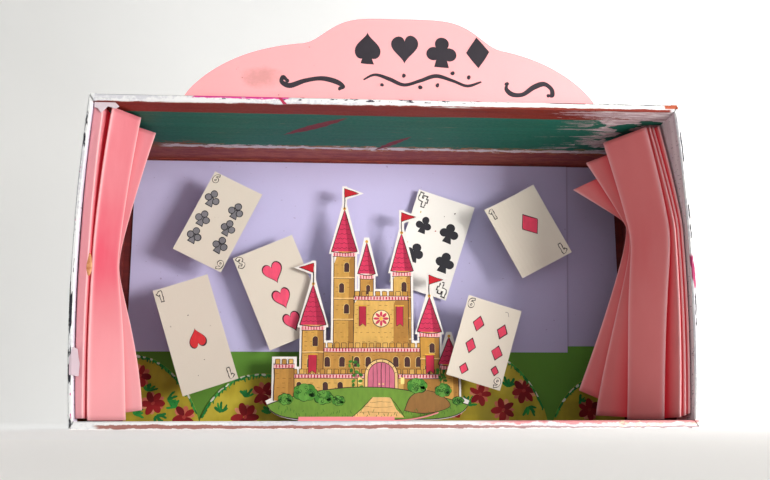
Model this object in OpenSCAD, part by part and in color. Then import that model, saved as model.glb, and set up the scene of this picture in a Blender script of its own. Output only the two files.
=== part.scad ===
// Shoebox diorama: a shoebox tray stood on its long side wall as a small paper stage,
// with a cut card header, pleated paper curtains, a two-colour paper backdrop,
// painted bushes, a cut-out castle and six stand-off playing cards.
// Millimetres, +Z up, the open front faces -Y, origin at the middle of the base.

/* [Shoebox] */
// Length of the tray, left to right
box_l = 320; // [280:1:380]
// Height of the tray as it stands
box_h = 175; // [160:1:210]
// Depth of the tray, front rim to back
box_d = 110; // [104:1:150]
// Thickness of the folded-over long walls
wall_t = 4; // [3:0.5:6]
// Thickness of the end walls
end_t = 2.5; // [2:0.5:4]
// Outward bow of the end walls half-way up
end_bow = 3.7; // [1:0.1:6]
// Thickness of the single back panel
back_t = 2; // [1:0.5:4]
// Bevel along the edges of the rims
rim_bevel = 0.7; // [0.3:0.1:1]
// Width of the slits where the folded walls meet at the rim corners
corner_slit_w = 0.5; // [0.3:0.1:1]
// Depth of those slits behind the rim
corner_slit_d = 7; // [4:1:15]

/* [Header] */
// Width of the header card at its foot
header_w = 225; // [180:1:250]
// Height of the header's rounded shoulders above the box
header_shoulder_h = 34; // [20:1:50]
// Width of the raised crest in the middle
header_crest_w = 112; // [60:1:140]
// Height of the crest above the shoulders
header_crest_h = 14; // [6:1:25]
// Offset of the crest from the header's middle
header_crest_x = 6; // [-15:0.5:15]
// Offset of the header from the box's middle
header_x = 1.5; // [-10:0.5:10]
// Distance of the header behind the front rim
header_setback = 3; // [2.5:0.5:10]
// Depth of the glue tab folded back on the box
header_tab = 12; // [8:1:20]
// Thickness of the header card
header_t = 0.6; // [0.4:0.1:1]

/* [Backdrop] */
// Thickness of the lavender and green sheets
sheet_t = 0.25; // [0.15:0.05:0.5]
// Height of the lower edge of the lavender sheet above the floor
sky_foot = 42.5; // [30:0.5:60]
// Height of the lower edge of the lavender strip above the floor
sky_strip_foot = 46.5; // [30:0.5:60]
// Gap between the lavender sheets and the ceiling
sky_gap = 2; // [0.5:0.5:6]
// Height that the green sheets reach behind the lavender ones
ground_h = 62; // [60:1:80]
// Width of the strip that completes the sheets on the right
strip_w = 35; // [20:1:60]
// Overlap of the main sheets on the strips
strip_lap = 9; // [4:1:15]
// Slant of the lavender sheet's right edge from foot to top
sky_slant = 4; // [0:0.5:8]

/* [Bushes] */
// Thickness of the painted bush cards
bush_t = 0.4; // [0.3:0.1:0.8]

/* [Castle] */
// Thickness of the castle card
castle_t = 0.5; // [0.4:0.1:1]
// Distance of the castle in front of the backdrop
castle_standoff = 13.5; // [12.5:0.5:16]
// Offset of the castle from the box's middle
castle_x = -7; // [-12:0.5:0]
// Half the width of the castle's hill
hill_half_w = 62; // [58:1:70]
// Height of the hill's widest place above the floor
hill_waist_h = 12; // [8:1:16]
// Height of the hill above its widest place
hill_rise = 14; // [8:1:20]
// White paper left around the drawn castle
cut_margin = 1.5; // [0.8:0.1:2.5]
// Length of the pink foot strip
foot_strip_l = 84; // [60:1:100]
// Height of the foot strip's flange on the castle
foot_strip_h = 2.5; // [2:0.5:8]
// Depth of the foot strip's flange on the floor
foot_strip_d = 13; // [8:1:18]
// Length of the foot strip's loose end
foot_loose_l = 26; // [10:1:40]
// Angle through which the loose end curls off the floor
foot_loose_curl = 20; // [5:1:40]

/* [Cards] */
// Thickness of the playing cards
card_t = 0.4; // [0.3:0.1:0.7]
// Thickness of the folded paper spacers
spacer_t = 0.3; // [0.2:0.05:0.4]
// Length of each leaf of a spacer
spacer_leaf = 12; // [8:1:16]
// Width of the spacer strip
spacer_w = 14; // [8:1:18]

/* [Curtains] */
// Thickness of the curtain paper
curtain_t = 0.4; // [0.3:0.05:0.5]
// Radius of the paper at each pleat's fold
fold_r = 0.35; // [0.3:0.05:0.5]
// Softness of the bend at the waist, as a share of half the curtain's height
waist_softness = 0.12; // [0.05:0.01:0.5]

/* [Hidden] */
// Inside of the tray
floor_z = wall_t;
ceiling_z = box_h - wall_t;
stage_h = ceiling_z - floor_z;
stage_half = box_l / 2 - wall_t;
end_x = box_l / 2 - end_t;
front_y = -box_d / 2;
panel_y = box_d / 2 - back_t;

// Radius of the bowed end walls' outside, and how far they bow at height z
end_r = (pow(box_h / 2, 2) + pow(end_bow, 2)) / (2 * end_bow);
function bow_at(z) = sqrt(pow(end_r, 2) - pow(z - box_h / 2, 2)) - (end_r - end_bow);

// Layers of the backdrop, each sheet lying in front of the last
ground_strip_y = panel_y - sheet_t;
sky_strip_y = ground_strip_y - sheet_t;
ground_y = sky_strip_y - sheet_t;
sky_y = ground_y - sheet_t;
bush_y = sky_y - bush_t;
castle_back_y = sky_y - castle_standoff;

// Clearance of cut paper from the side walls, and of hung paper from its seat
paper_gap = 0.3;
outline_steps = 48;

// Bushes: half width and height of the far and the near one, how far the far one's middle is
// from the side wall, and the gap between the two
bush_arch = [2.3, 1.3];
left_bushes = [[46, 41], [37, 29], 0, 0.5];
right_bushes = [[38, 29], [44, 43], 7.8, 3.8];

// Castle towers: offset from its middle, width, wall height, roof height, pennant side.
// A tower with no roof ends in battlements.
eaves = 1.6;
merlon_h = 3;
towers = [
    [8, 34, 76, 0, 0],
    [-15, 13, 104, 27, 1],
    [-1, 8, 90, 20, 0],
    [21, 11, 92, 24, 1],
    [-34, 13, 58, 25, -1],
    [38, 12, 54, 22, 1],
    [-51, 12, 34, 0, 0],
    [50, 11, 34, 17, 0],
];
// Battlemented walls between the towers: left end, right end, height
walls = [[-34, 38, 44], [-51, 50, 28]];
// Pennants on the roofs: pole height, flag length, flag height
pennant = [12, 9, 6];
// The castle's spacer: offset from its middle, and height
castle_spacer_at = [0, 58];

// Cards: across and up as shares of the stage, width, length, turn, stand-off, bend,
// and how far the spacer sits above the card's middle
six_clubs_at = [-0.644, 0.728, 33, 55, -26, 16.5, 0.6, 0];
three_hearts_at = [-0.391, 0.471, 39.5, 62, 23, 10, 0.4, 0];
one_hearts_at = [-0.713, 0.306, 34, 66, 18, 20.5, 0.6, 0];
four_clubs_at = [0.222, 0.665, 38, 64, -18, 3, 0.5, 0];
one_diamonds_at = [0.597, 0.700, 36, 49, 28, 18.5, 2.4, 0];
six_diamonds_at = [0.406, 0.280, 34, 50.5, -17, 22.5, 0.6, 7];

// Curtain folds, front to back. Each row has the reach from the end wall and the depth
// behind the rim, both at the top, waist and bottom, then the gap under the ceiling,
// the height of the waist above the floor, the gap above the floor and how soon the
// fold settles below the waist, 1 for a straight run.
left_folds = [
    [[0.6, 2.2, 0.9], [3.4, 3.2, 3.4], [2, 84, 1.5, 1]],
    [[5.2, 5.3, 4.1], [3, 3, 3], [2, 84, 1.5, 1]],
    [[6.4, 6.1, 4.9], [17, 8, 14], [2, 84, 1.5, 1]],
    [[9.2, 7, 5.7], [5.6, 4.6, 5], [1.5, 84, 0.5, 1]],
    [[21, 16.2, 21], [23, 23, 23], [1.5, 84, 0.5, 3]],
    [[13.7, 10.4, 13.7], [33, 32, 33], [2.5, 84, 4, 2]],
    [[25.5, 12.3, 25.4], [46, 43, 46], [3, 86, 6, 1.8]],
    [[0.5, 0.5, 0.5], [56, 50, 56], [4, 84, 8, 1]],
];
right_folds = [
    [[0.5, 0.5, 0.5], [25, 8, 8], [2, 101, 3.5, 1]],
    [[2.4, 1.4, 1.2], [18, 3.6, 2.6], [2, 101, 3.5, 1]],
    [[3.8, 2.3, 2.3], [24, 7.5, 8.5], [2, 101, 3, 1]],
    [[5, 3.2, 3.3], [20, 5, 3.4], [2, 101, 2.5, 1]],
    [[6.2, 4.1, 4.4], [25, 8.5, 9.5], [2, 101, 2, 1]],
    [[7.4, 5, 5.6], [18, 4.8, 4.8], [2, 101, 1.5, 1]],
    [[8.5, 5.9, 9.2], [27, 14, 26], [2.2, 101, 1, 2.5]],
    [[9.7, 6.8, 10.7], [19, 9, 15], [2.5, 101, 0.5, 2.5]],
    [[28.9, 20, 24.8], [40, 35, 33], [6, 101, 0.5, 4]],
    [[19.5, 14, 18], [48, 42, 43], [9, 103, 1.5, 2]],
    [[35.3, 15.5, 36.5], [57, 49, 54], [13.5, 106, 2.8, 1.3]],
    [[24.2, 11.4, 24.5], [63, 56, 61], [20, 110, 9, 1.2]],
    [[41.2, 12.2, 43.1], [71, 63, 69], [27, 116, 17.6, 1]],
    [[0.5, 0.5, 0.5], [80, 70, 78], [30, 118, 22, 1]],
];
curtain_rings = 18;
fold_points = 4;

// Torn paper flap over the upper left corner: offsets from that corner, and its thickness
flap_t = 0.2;
flap_depth = 2.2;
flap_outline = [[0.2, -0.2], [11, -0.2], [13.3, -2.4], [11.3, -3.7], [7.3, -2.4],
                [3.9, -6.1], [1.9, -3.4], [0.2, -3]];

function mix(a, b, share) = a + (b - a) * share;
function unit(v) = v / norm(v);
function left_of(v) = [-v[1], v[0]];

// A flat outline drawn in X and Z, given a thickness from y towards the back
module upright(y, t) {
    translate([0, y + t, 0]) rotate([90, 0, 0]) linear_extrude(t) children();
}

// Moves a flat shape to the middle of one end wall's bow
module at_bow(side) {
    translate([side * (box_l / 2 + end_bow - end_r), box_h / 2]) children();
}

// An outline between two heights whose ends bow out, inside the given radius
module bowed_outline(r, foot, top) {
    intersection() {
        at_bow(-1) circle(r = r, $fn = 1440);
        at_bow(1) circle(r = r, $fn = 1440);
        translate([-box_l, foot]) square([2 * box_l, top - foot]);
    }
}

// What the fold radius takes off one of the outline's four corners
module corner_waste(side, end) {
    back = 0.6 * wall_t;
    translate([side * (box_l / 2 - back), end * (box_h - 2 * back) + back])
        difference() {
            translate([side < 0 ? -wall_t : 0, end < 1 ? -wall_t : 0]) square(wall_t);
            circle(r = 0.72 * wall_t, $fn = 48);
        }
}

// A bar along a long wall's rim that bevels the edge at height z
module long_bevel(z, length) {
    translate([0, front_y, z]) rotate([45, 0, 0]) cube([length, rim_bevel * sqrt(2), rim_bevel * sqrt(2)], center = true);
}

// The same along an end wall's rim, swung round its bow between two heights
module end_bevel(side, r, height) {
    swing = 2 * asin(height / 2 / r);
    translate([side * (box_l / 2 + end_bow - end_r), front_y, box_h / 2])
        rotate([-90, 0, 0]) rotate([0, 0, (side < 0 ? 180 : 0) - swing / 2])
            rotate_extrude(angle = swing, $fn = 1440)
                translate([r, 0]) rotate(45) square(rim_bevel * sqrt(2), center = true);
}

// The folded tray: walls with bevelled rims, bowed at the ends, a single back panel and slit rim corners
module shoebox_tray() {
    slit_l = 4 * wall_t;
    color("whitesmoke") difference() {
        upright(front_y, box_d) difference() {
            bowed_outline(end_r, 0, box_h);
            for (side = [-1, 1], end = [0, 1]) corner_waste(side, end);
        }
        upright(front_y - wall_t, box_d - back_t + wall_t)
            bowed_outline(end_r - end_t, floor_z, ceiling_z);
        for (z = [0, box_h]) long_bevel(z, box_l - 2 * wall_t);
        for (z = [floor_z, ceiling_z]) long_bevel(z, 2 * end_x - 1);
        for (side = [-1, 1]) {
            end_bevel(side, end_r, box_h + 20);
            end_bevel(side, end_r - end_t, stage_h - 1);
        }
        for (side = [-1, 1], end = [0, 1])
            translate([side * end_x, front_y + corner_slit_d / 2, end * stage_h + floor_z])
                rotate([0, side * (1 - 2 * end) * atan(wall_t / end_t), 0])
                    cube([slit_l, corner_slit_d, corner_slit_w], center = true);
    }
}

// Height of the header's outline above the box at x from its middle
function header_outline(x) =
    let (shoulder = 1 - pow(abs(2 * x / header_w), 3.5),
         crest = 1 - pow(abs(2 * (x - header_crest_x) / header_crest_w), 5))
    header_shoulder_h * pow(max(0, shoulder), 1 / 1.2) + header_crest_h * pow(max(0, crest), 3);

// One card folded to an L: the upright header and the tab glued to the box
module header_card() {
    panel_front = front_y + header_setback;
    steps = 2 * outline_steps;
    half = header_w / 2;
    color("lightpink") translate([header_x, 0, box_h]) {
        upright(panel_front, header_t)
            polygon([for (i = [0 : steps])
                let (x = mix(-half, half, i / steps)) [x, header_outline(x)]]);
        translate([-half, panel_front, 0]) cube([header_w, header_tab, header_t]);
    }
}

module sky_sheet() {
    edge = stage_half - strip_w;
    color("plum") upright(sky_y, sheet_t)
        polygon([[-stage_half, floor_z + sky_foot], [edge, floor_z + sky_foot],
                 [edge + sky_slant, ceiling_z - sky_gap], [-stage_half, ceiling_z - sky_gap]]);
}

module sky_strip() {
    width = strip_w + strip_lap;
    color("plum") translate([stage_half - width, sky_strip_y, floor_z + sky_strip_foot])
        cube([width, sheet_t, stage_h - sky_strip_foot - sky_gap]);
}

module ground_sheet() {
    color("olivedrab") translate([-stage_half, ground_y, floor_z])
        cube([2 * stage_half - strip_w, sheet_t, ground_h]);
}

module ground_strip() {
    width = strip_w + strip_lap;
    color("olivedrab") translate([stage_half - width, ground_strip_y, floor_z])
        cube([width, sheet_t, ground_h]);
}

// Distance of the far and the near bush's middle from the box's middle
function far_bush_x(pair) = stage_half - pair[2];
function near_bush_x(pair) = far_bush_x(pair) - pair[0][0] - pair[3] - pair[1][0];

// A painted arch of card on the floor against the backdrop, cut off at the side walls
module bush(x, shape) {
    side = stage_half - paper_gap;
    color("goldenrod") upright(bush_y, bush_t) intersection() {
        translate([x, floor_z])
            polygon([for (i = [0 : outline_steps])
                let (u = mix(-1, 1, i / outline_steps),
                     arch = pow(1 - pow(abs(u), bush_arch[0]), 1 / bush_arch[1]))
                [u * shape[0], shape[1] * arch]]);
        translate([-side, floor_z]) square([2 * side, stage_h]);
    }
}

module bush_far_left() { bush(-far_bush_x(left_bushes), left_bushes[0]); }
module bush_left() { bush(-near_bush_x(left_bushes), left_bushes[1]); }
module bush_right() { bush(near_bush_x(right_bushes), right_bushes[1]); }
module bush_far_right() { bush(far_bush_x(right_bushes), right_bushes[0]); }

// A stretch of the castle's outline up to its battlements, grown by the margin
module battlement_outline(half, height) {
    translate([-half, hill_waist_h])
        square([2 * half, height + merlon_h + cut_margin - hill_waist_h]);
}

// One tower of the castle's outline with its cone roof and pennant, grown by the margin
module tower_outline(tower) {
    half = tower[1] / 2 + cut_margin;
    wall_top = tower[2] - cut_margin;
    tip = tower[2] + tower[3] + 2 * cut_margin;
    translate([tower[0], 0])
        if (tower[3] == 0)
            battlement_outline(half, tower[2]);
        else {
            translate([-half, hill_waist_h]) square([2 * half, wall_top - hill_waist_h]);
            polygon([[-half - eaves, wall_top], [half + eaves, wall_top],
                     [cut_margin, tip], [-cut_margin, tip]]);
            if (tower[4] != 0)
                pennant_outline(tip, tower[4]);
        }
}

// A pole on a roof's tip with a pointed flag to one side
module pennant_outline(tip, side) {
    flag_top = tip + pennant[0];
    flag_foot = flag_top - pennant[2] - 2 * cut_margin;
    flag_end = side * (pennant[1] + 2 * cut_margin);
    translate([-cut_margin, tip - cut_margin])
        square([2 * cut_margin, pennant[0] + cut_margin]);
    polygon([[0, side > 0 ? flag_top : flag_foot], [0, side > 0 ? flag_foot : flag_top],
             [flag_end, (flag_foot + flag_top) / 2]]);
}

// The hill under the castle: a flat-footed lens whose ends rise off the floor
module hill_outline() {
    function foot(u) = hill_waist_h * (1 - sqrt(1 - pow(abs(u), 6)));
    function crown(u) = hill_waist_h + hill_rise * (1 - pow(abs(u), 2.2));
    ends = [for (i = [0 : outline_steps]) mix(-1, 1, i / outline_steps)];
    polygon(concat([for (u = ends) [u * hill_half_w, foot(u)]],
                   [for (u = ends) if (abs(u) < 1) [-u * hill_half_w, crown(u)]]));
}

module castle_cutout() {
    color("peru") translate([castle_x, 0, floor_z]) upright(castle_back_y - castle_t, castle_t) {
        hill_outline();
        for (tower = towers) tower_outline(tower);
        for (w = walls)
            translate([(w[0] + w[1]) / 2, 0]) battlement_outline((w[1] - w[0]) / 2, w[2]);
    }
}

// A strip folded to an L: one flange on the castle's front, one on the floor,
// and a loose right end where the floor flange curls up in an arc
module castle_foot_strip() {
    foot_y = castle_back_y - castle_t;
    glued_l = foot_strip_l - foot_loose_l;
    curl_r = foot_loose_l / (foot_loose_curl * PI / 180);
    color("hotpink") translate([castle_x - foot_strip_l / 2, foot_y, floor_z]) {
        translate([0, -header_t, 0]) cube([glued_l, header_t, foot_strip_h]);
        translate([0, -foot_strip_d, 0]) cube([glued_l, foot_strip_d, header_t]);
        translate([glued_l, -paper_gap, curl_r]) rotate([90, 0, 0]) rotate([0, 0, -90])
            rotate_extrude(angle = foot_loose_curl, $fn = 96)
                translate([curl_r - header_t, 0]) square([header_t, foot_strip_d - paper_gap]);
    }
}

// A paper strip folded to and fro between the backdrop and what stands in front of it
module paper_spacer(x, z, standoff) {
    leaves = 1 + 2 * round((standoff - 3) / 9);
    rise = (standoff - spacer_t) / leaves;
    half = spacer_leaf / 2;
    folds = concat([[-half, 0]],
                   [for (i = [0 : leaves]) [(i % 2 == 0 ? 1 : -1) * half, i * rise]],
                   [[half * (leaves % 2 == 0 ? -1 : 1), leaves * rise]]);
    color("white") translate([x, sky_y - spacer_t / 2, z - spacer_w / 2]) linear_extrude(spacer_w)
        for (i = [0 : len(folds) - 2])
            paper_leaf(folds[i], folds[i + 1]);
}

// One leaf of a folded strip between two folds, drawn towards the front
module paper_leaf(a, b) {
    along = norm(b - a) > 0 ? unit(b - a) : [1, 0];
    side = left_of(along) * spacer_t / 2;
    mirror([0, 1]) {
        polygon([a - side, b - side, b + side, a + side]);
        for (p = [a, b]) translate(p) circle(d = spacer_t, $fn = 16);
    }
}

// A playing card standing off the backdrop, its long edges bent a little to the front
module playing_card(at) {
    half = at[2] / 2;
    steps = 12;
    across = [for (i = [0 : steps]) mix(-half, half, i / steps)];
    function bend_y(x) = -at[6] * pow(x / half, 2);
    color("ivory")
        translate([at[0] * stage_half, sky_y - at[5], floor_z + at[1] * stage_h])
            rotate([0, -at[4], 0]) translate([0, 0, -at[3] / 2]) linear_extrude(at[3])
                polygon(concat([for (x = across) [x, bend_y(x)]],
                               [for (x = across) [-x, bend_y(x) - card_t]]));
}

module card_spacer(at) {
    paper_spacer(at[0] * stage_half, floor_z + at[1] * stage_h + at[7], at[5]);
}

module castle_spacer() {
    paper_spacer(castle_x + castle_spacer_at[0], floor_z + castle_spacer_at[1], castle_standoff);
}

module card_six_clubs() { playing_card(six_clubs_at); }
module card_three_hearts() { playing_card(three_hearts_at); }
module card_one_hearts() { playing_card(one_hearts_at); }
module card_four_clubs() { playing_card(four_clubs_at); }
module card_one_diamonds() { playing_card(one_diamonds_at); }
module card_six_diamonds() { playing_card(six_diamonds_at); }
module spacer_six_clubs() { card_spacer(six_clubs_at); }
module spacer_three_hearts() { card_spacer(three_hearts_at); }
module spacer_one_hearts() { card_spacer(one_hearts_at); }
module spacer_four_clubs() { card_spacer(four_clubs_at); }
module spacer_one_diamonds() { card_spacer(one_diamonds_at); }
module spacer_six_diamonds() { card_spacer(six_diamonds_at); }

// Opening of a pleat from the waist, 0, to its end, 1: a straight flare with a soft start
function flare(t) =
    (sqrt(t * t + waist_softness * waist_softness) - waist_softness)
    / (sqrt(1 + waist_softness * waist_softness) - waist_softness);

// A value given at the top, waist and bottom, taken at s from the bottom, 0, to the top, 1
function along_pleat(ends, s, settle) =
    s < 0.5 ? mix(ends[1], ends[2], 1 - pow(1 - flare(1 - 2 * s), settle))
            : mix(ends[1], ends[0], flare(2 * s - 1));

// Place of one fold at s: reach from the end wall, depth behind the rim, and height
function fold_at(fold, s) =
    let (waist_z = floor_z + fold[2][1],
         z = s < 0.5 ? mix(floor_z + fold[2][2], waist_z, 2 * s)
                     : mix(waist_z, ceiling_z - fold[2][0], 2 * s - 1))
    [along_pleat(fold[0], s, fold[2][3]), along_pleat(fold[1], s, fold[2][3]), z];

function flat(p) = [p[0], p[1]];

// The paper's round turn at fold p between its neighbours a and b
function fold_turn(a, p, b) =
    let (u = unit(flat(a - p)), v = unit(flat(b - p)),
         half = acos(u * v) / 2,
         back = min(fold_r / tan(half), 0.45 * norm(flat(a - p)), 0.45 * norm(flat(b - p))),
         centre = flat(p) + unit(u + v) * back / cos(half),
         start = flat(p) + u * back - centre,
         turn = (cross(u, v) < 0 ? 1 : -1) * (180 - 2 * half))
    [for (k = [0 : fold_points - 1])
        let (share = k / (fold_points - 1),
             c = cos(turn * share),
             d = sin(turn * share),
             away = 1 - 2 * share,
             next = away > 0 ? a : b,
             z = mix(p[2], next[2], abs(away) * back / norm(flat(next - p))))
        [centre[0] + c * start[0] - d * start[1], centre[1] + d * start[0] + c * start[1], z]];

// The middle of the paper at s, front to back, with every fold turned round
function pleat_path(folds, s) =
    let (p = [for (fold = folds) fold_at(fold, s)], last = len(p) - 1)
    concat([p[0]],
           [for (i = [1 : last - 1]) for (q = fold_turn(p[i - 1], p[i], p[i + 1])) q],
           [p[last]]);

// The same path moved to one face of the paper
function paper_face(path, side) =
    let (last = len(path) - 1)
    [for (i = [0 : last])
        let (before = unit(flat(path[max(i, 1)] - path[max(i, 1) - 1])),
             after = unit(flat(path[min(i, last - 1) + 1] - path[min(i, last - 1)])),
             middle = unit(left_of(before) + left_of(after)),
             move = middle * side * curtain_t / 2 / max(0.6, middle * left_of(after)))
        [path[i][0] + move[0], path[i][1] + move[1], path[i][2]]];

// One pleated sheet pinched at its waist, on the left end wall, side -1, or the right, side 1
module curtain(folds, side) {
    paths = [for (k = [0 : curtain_rings]) pleat_path(folds, k / curtain_rings)];
    n = len(paths[0]);
    rings = [for (path = paths) concat(paper_face(path, 1), paper_face(path, -1))];
    points = [for (ring = rings) for (p = ring)
        [side * (end_x + bow_at(p[2]) - p[0]), front_y + p[1], p[2]]];
    last = curtain_rings;
    // Index of point i on a ring and face, and the two triangles of a quad
    function at(k, face, i) = k * 2 * n + face * n + i;
    function quad(a, b, c, d) = side > 0 ? [[a, b, c], [a, c, d]] : [[c, b, a], [d, c, a]];
    // The loop round one ring's section: along one face and back along the other
    loop = concat([for (i = [0 : n - 1]) i], [for (i = [n - 1 : -1 : 0]) n + i]);
    // Both faces split each quad along the same diagonal, so that twisted panels keep their thickness
    sides = [for (k = [0 : last - 1], i = [0 : 2 * n - 1])
        let (a = at(k, 0, loop[i]), b = at(k, 0, loop[(i + 1) % (2 * n)]), rise = 2 * n)
        i < n ? quad(a, a + rise, b + rise, b) : quad(a + rise, b + rise, b, a)];
    ends = [for (i = [0 : n - 2]) each [
        quad(at(0, 0, i), at(0, 0, i + 1), at(0, 1, i + 1), at(0, 1, i)),
        quad(at(last, 0, i), at(last, 1, i), at(last, 1, i + 1), at(last, 0, i + 1))]];
    polyhedron(points, [for (pair = concat(sides, ends)) each pair]);
}

module curtain_left() {
    color("lightcoral") curtain(left_folds, -1);
}

module curtain_right() {
    color("lightcoral") curtain(right_folds, 1);
}

module corner_flap() {
    color("snow") translate([-end_x, 0, ceiling_z])
        upright(front_y + flap_depth, flap_t) polygon(flap_outline);
}

shoebox_tray();
header_card();
sky_sheet();
sky_strip();
ground_sheet();
ground_strip();
bush_far_left();
bush_left();
bush_right();
bush_far_right();
castle_cutout();
castle_spacer();
castle_foot_strip();
curtain_left();
curtain_right();
card_six_clubs();
card_three_hearts();
card_one_hearts();
card_four_clubs();
card_one_diamonds();
card_six_diamonds();
spacer_six_clubs();
spacer_three_hearts();
spacer_one_hearts();
spacer_four_clubs();
spacer_one_diamonds();
spacer_six_diamonds();
corner_flap();
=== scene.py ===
"""Looks of a shoebox diorama: brush-painted board, coloured paper, pleated paper curtains, painted bushes,
an inked castle and hand-drawn playing cards. Sizes are in millimetres until a mesh is made."""

import bpy
import numpy as np
from mathutils import Matrix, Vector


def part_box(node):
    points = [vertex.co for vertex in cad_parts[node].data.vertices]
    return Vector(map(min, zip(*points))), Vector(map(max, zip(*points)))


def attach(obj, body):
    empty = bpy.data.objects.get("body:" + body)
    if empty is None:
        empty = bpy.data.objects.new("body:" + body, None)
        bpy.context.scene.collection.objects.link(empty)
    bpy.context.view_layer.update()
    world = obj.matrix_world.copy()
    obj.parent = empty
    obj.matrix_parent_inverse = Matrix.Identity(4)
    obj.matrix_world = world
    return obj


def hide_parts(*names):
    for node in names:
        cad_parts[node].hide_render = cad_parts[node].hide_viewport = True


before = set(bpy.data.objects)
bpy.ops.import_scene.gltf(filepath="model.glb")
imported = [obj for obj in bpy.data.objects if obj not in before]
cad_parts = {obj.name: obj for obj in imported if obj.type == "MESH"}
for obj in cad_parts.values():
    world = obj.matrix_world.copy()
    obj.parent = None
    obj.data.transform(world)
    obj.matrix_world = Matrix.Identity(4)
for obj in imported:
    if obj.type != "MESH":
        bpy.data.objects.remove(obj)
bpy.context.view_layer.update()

MM = 0.001
hand = np.random.default_rng(7)


def node_box(node):
    """Lowest and highest corner of a CAD node in millimetres."""
    return [np.array(corner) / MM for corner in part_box(node)]


# Places on the stage, from the frame
TRAY_LOW, TRAY_HIGH = node_box("shoebox_tray")
SKY_LOW, SKY_HIGH = node_box("sky_sheet")
WALL_T = 4.0
END_T = 2.5
FRONT_Y = TRAY_LOW[1]
FLOOR_Z = TRAY_LOW[2] + WALL_T
CEILING_Z = TRAY_HIGH[2] - WALL_T
STAGE_HALF = -SKY_LOW[0]
STAGE_H = CEILING_Z - FLOOR_Z
SKY_Y = SKY_LOW[1]
# The end walls bow in an arc: half the box's length at its corners, the bow half-way up, and its radius
BOX_HALF = STAGE_HALF + WALL_T
END_X = BOX_HALF - END_T
END_BOW = TRAY_HIGH[0] - BOX_HALF
MID_Z = TRAY_HIGH[2] / 2
END_R = (MID_Z ** 2 + END_BOW ** 2) / (2 * END_BOW)
BUSH_Y = node_box("bush_left")[0][1]
CASTLE_Y = node_box("castle_cutout")[0][1]
HEADER_Y = node_box("header_card")[0][1]
# The lavender seam: its foot's distance from the right wall, and its slant per millimetre of height
SEAM_REACH = 35.0
SEAM_SLANT = (SKY_HIGH[0] - STAGE_HALF + SEAM_REACH) / (SKY_HIGH[2] - SKY_LOW[2])
# The smudge on the header: middle in x and z, and half sizes
SMUDGE_AT = (-69.0, 187.0)
SMUDGE_SIZE = (12.0, 6.5)
# Where painted shade turns the lavender browner and darker towards the right:
# the middle of the change and half its run
PAINTED_SHADE_X, PAINTED_SHADE_RUN = 104.0, 40.0


def bow_at(z):
    """How far the end walls bow out at a height: the root of the radius squared less the rise squared, less
    the distance from the arc's centre to the line through the corners."""
    return np.sqrt(END_R ** 2 - (z - MID_Z) ** 2) - (END_R - END_BOW)


# Shader kit

def tint(code):
    """Linear colour of a six-digit hex code: each sRGB share c is ((c + 0.055) / 1.055) to the 2.4."""
    share = np.array([int(code[i:i + 2], 16) for i in (1, 3, 5)]) / 255
    linear = np.where(share <= 0.04045, share / 12.92, ((share + 0.055) / 1.055) ** 2.4)
    return (*linear.tolist(), 1.0)


class Value:
    """A socket of a material's nodes; an operator between values and numbers adds its Math node."""

    def __init__(self, paint, socket):
        self.paint = paint
        self.socket = socket

    def __add__(self, other):
        return self.paint.math("ADD", self, other)

    def __sub__(self, other):
        return self.paint.math("SUBTRACT", self, other)

    def __rsub__(self, other):
        return self.paint.math("SUBTRACT", other, self)

    def __mul__(self, other):
        return self.paint.math("MULTIPLY", self, other)

    def __truediv__(self, other):
        return self.paint.math("DIVIDE", self, other)

    def __rtruediv__(self, other):
        return self.paint.math("DIVIDE", other, self)

    def __abs__(self):
        return self.paint.math("ABSOLUTE", self, 0.0)

    def __pow__(self, power):
        return self.paint.math("POWER", self, power)

    __radd__ = __add__
    __rmul__ = __mul__

    def above(self, edge, soft):
        """1 where the value is over the edge, 0 where it is under, with a smooth step between."""
        return self.paint.step(self - edge, -soft, soft)

    def below(self, edge, soft):
        """1 where the value is under the edge, 0 where it is over, with a smooth step between."""
        return self.paint.step(edge - self, -soft, soft)


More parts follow.
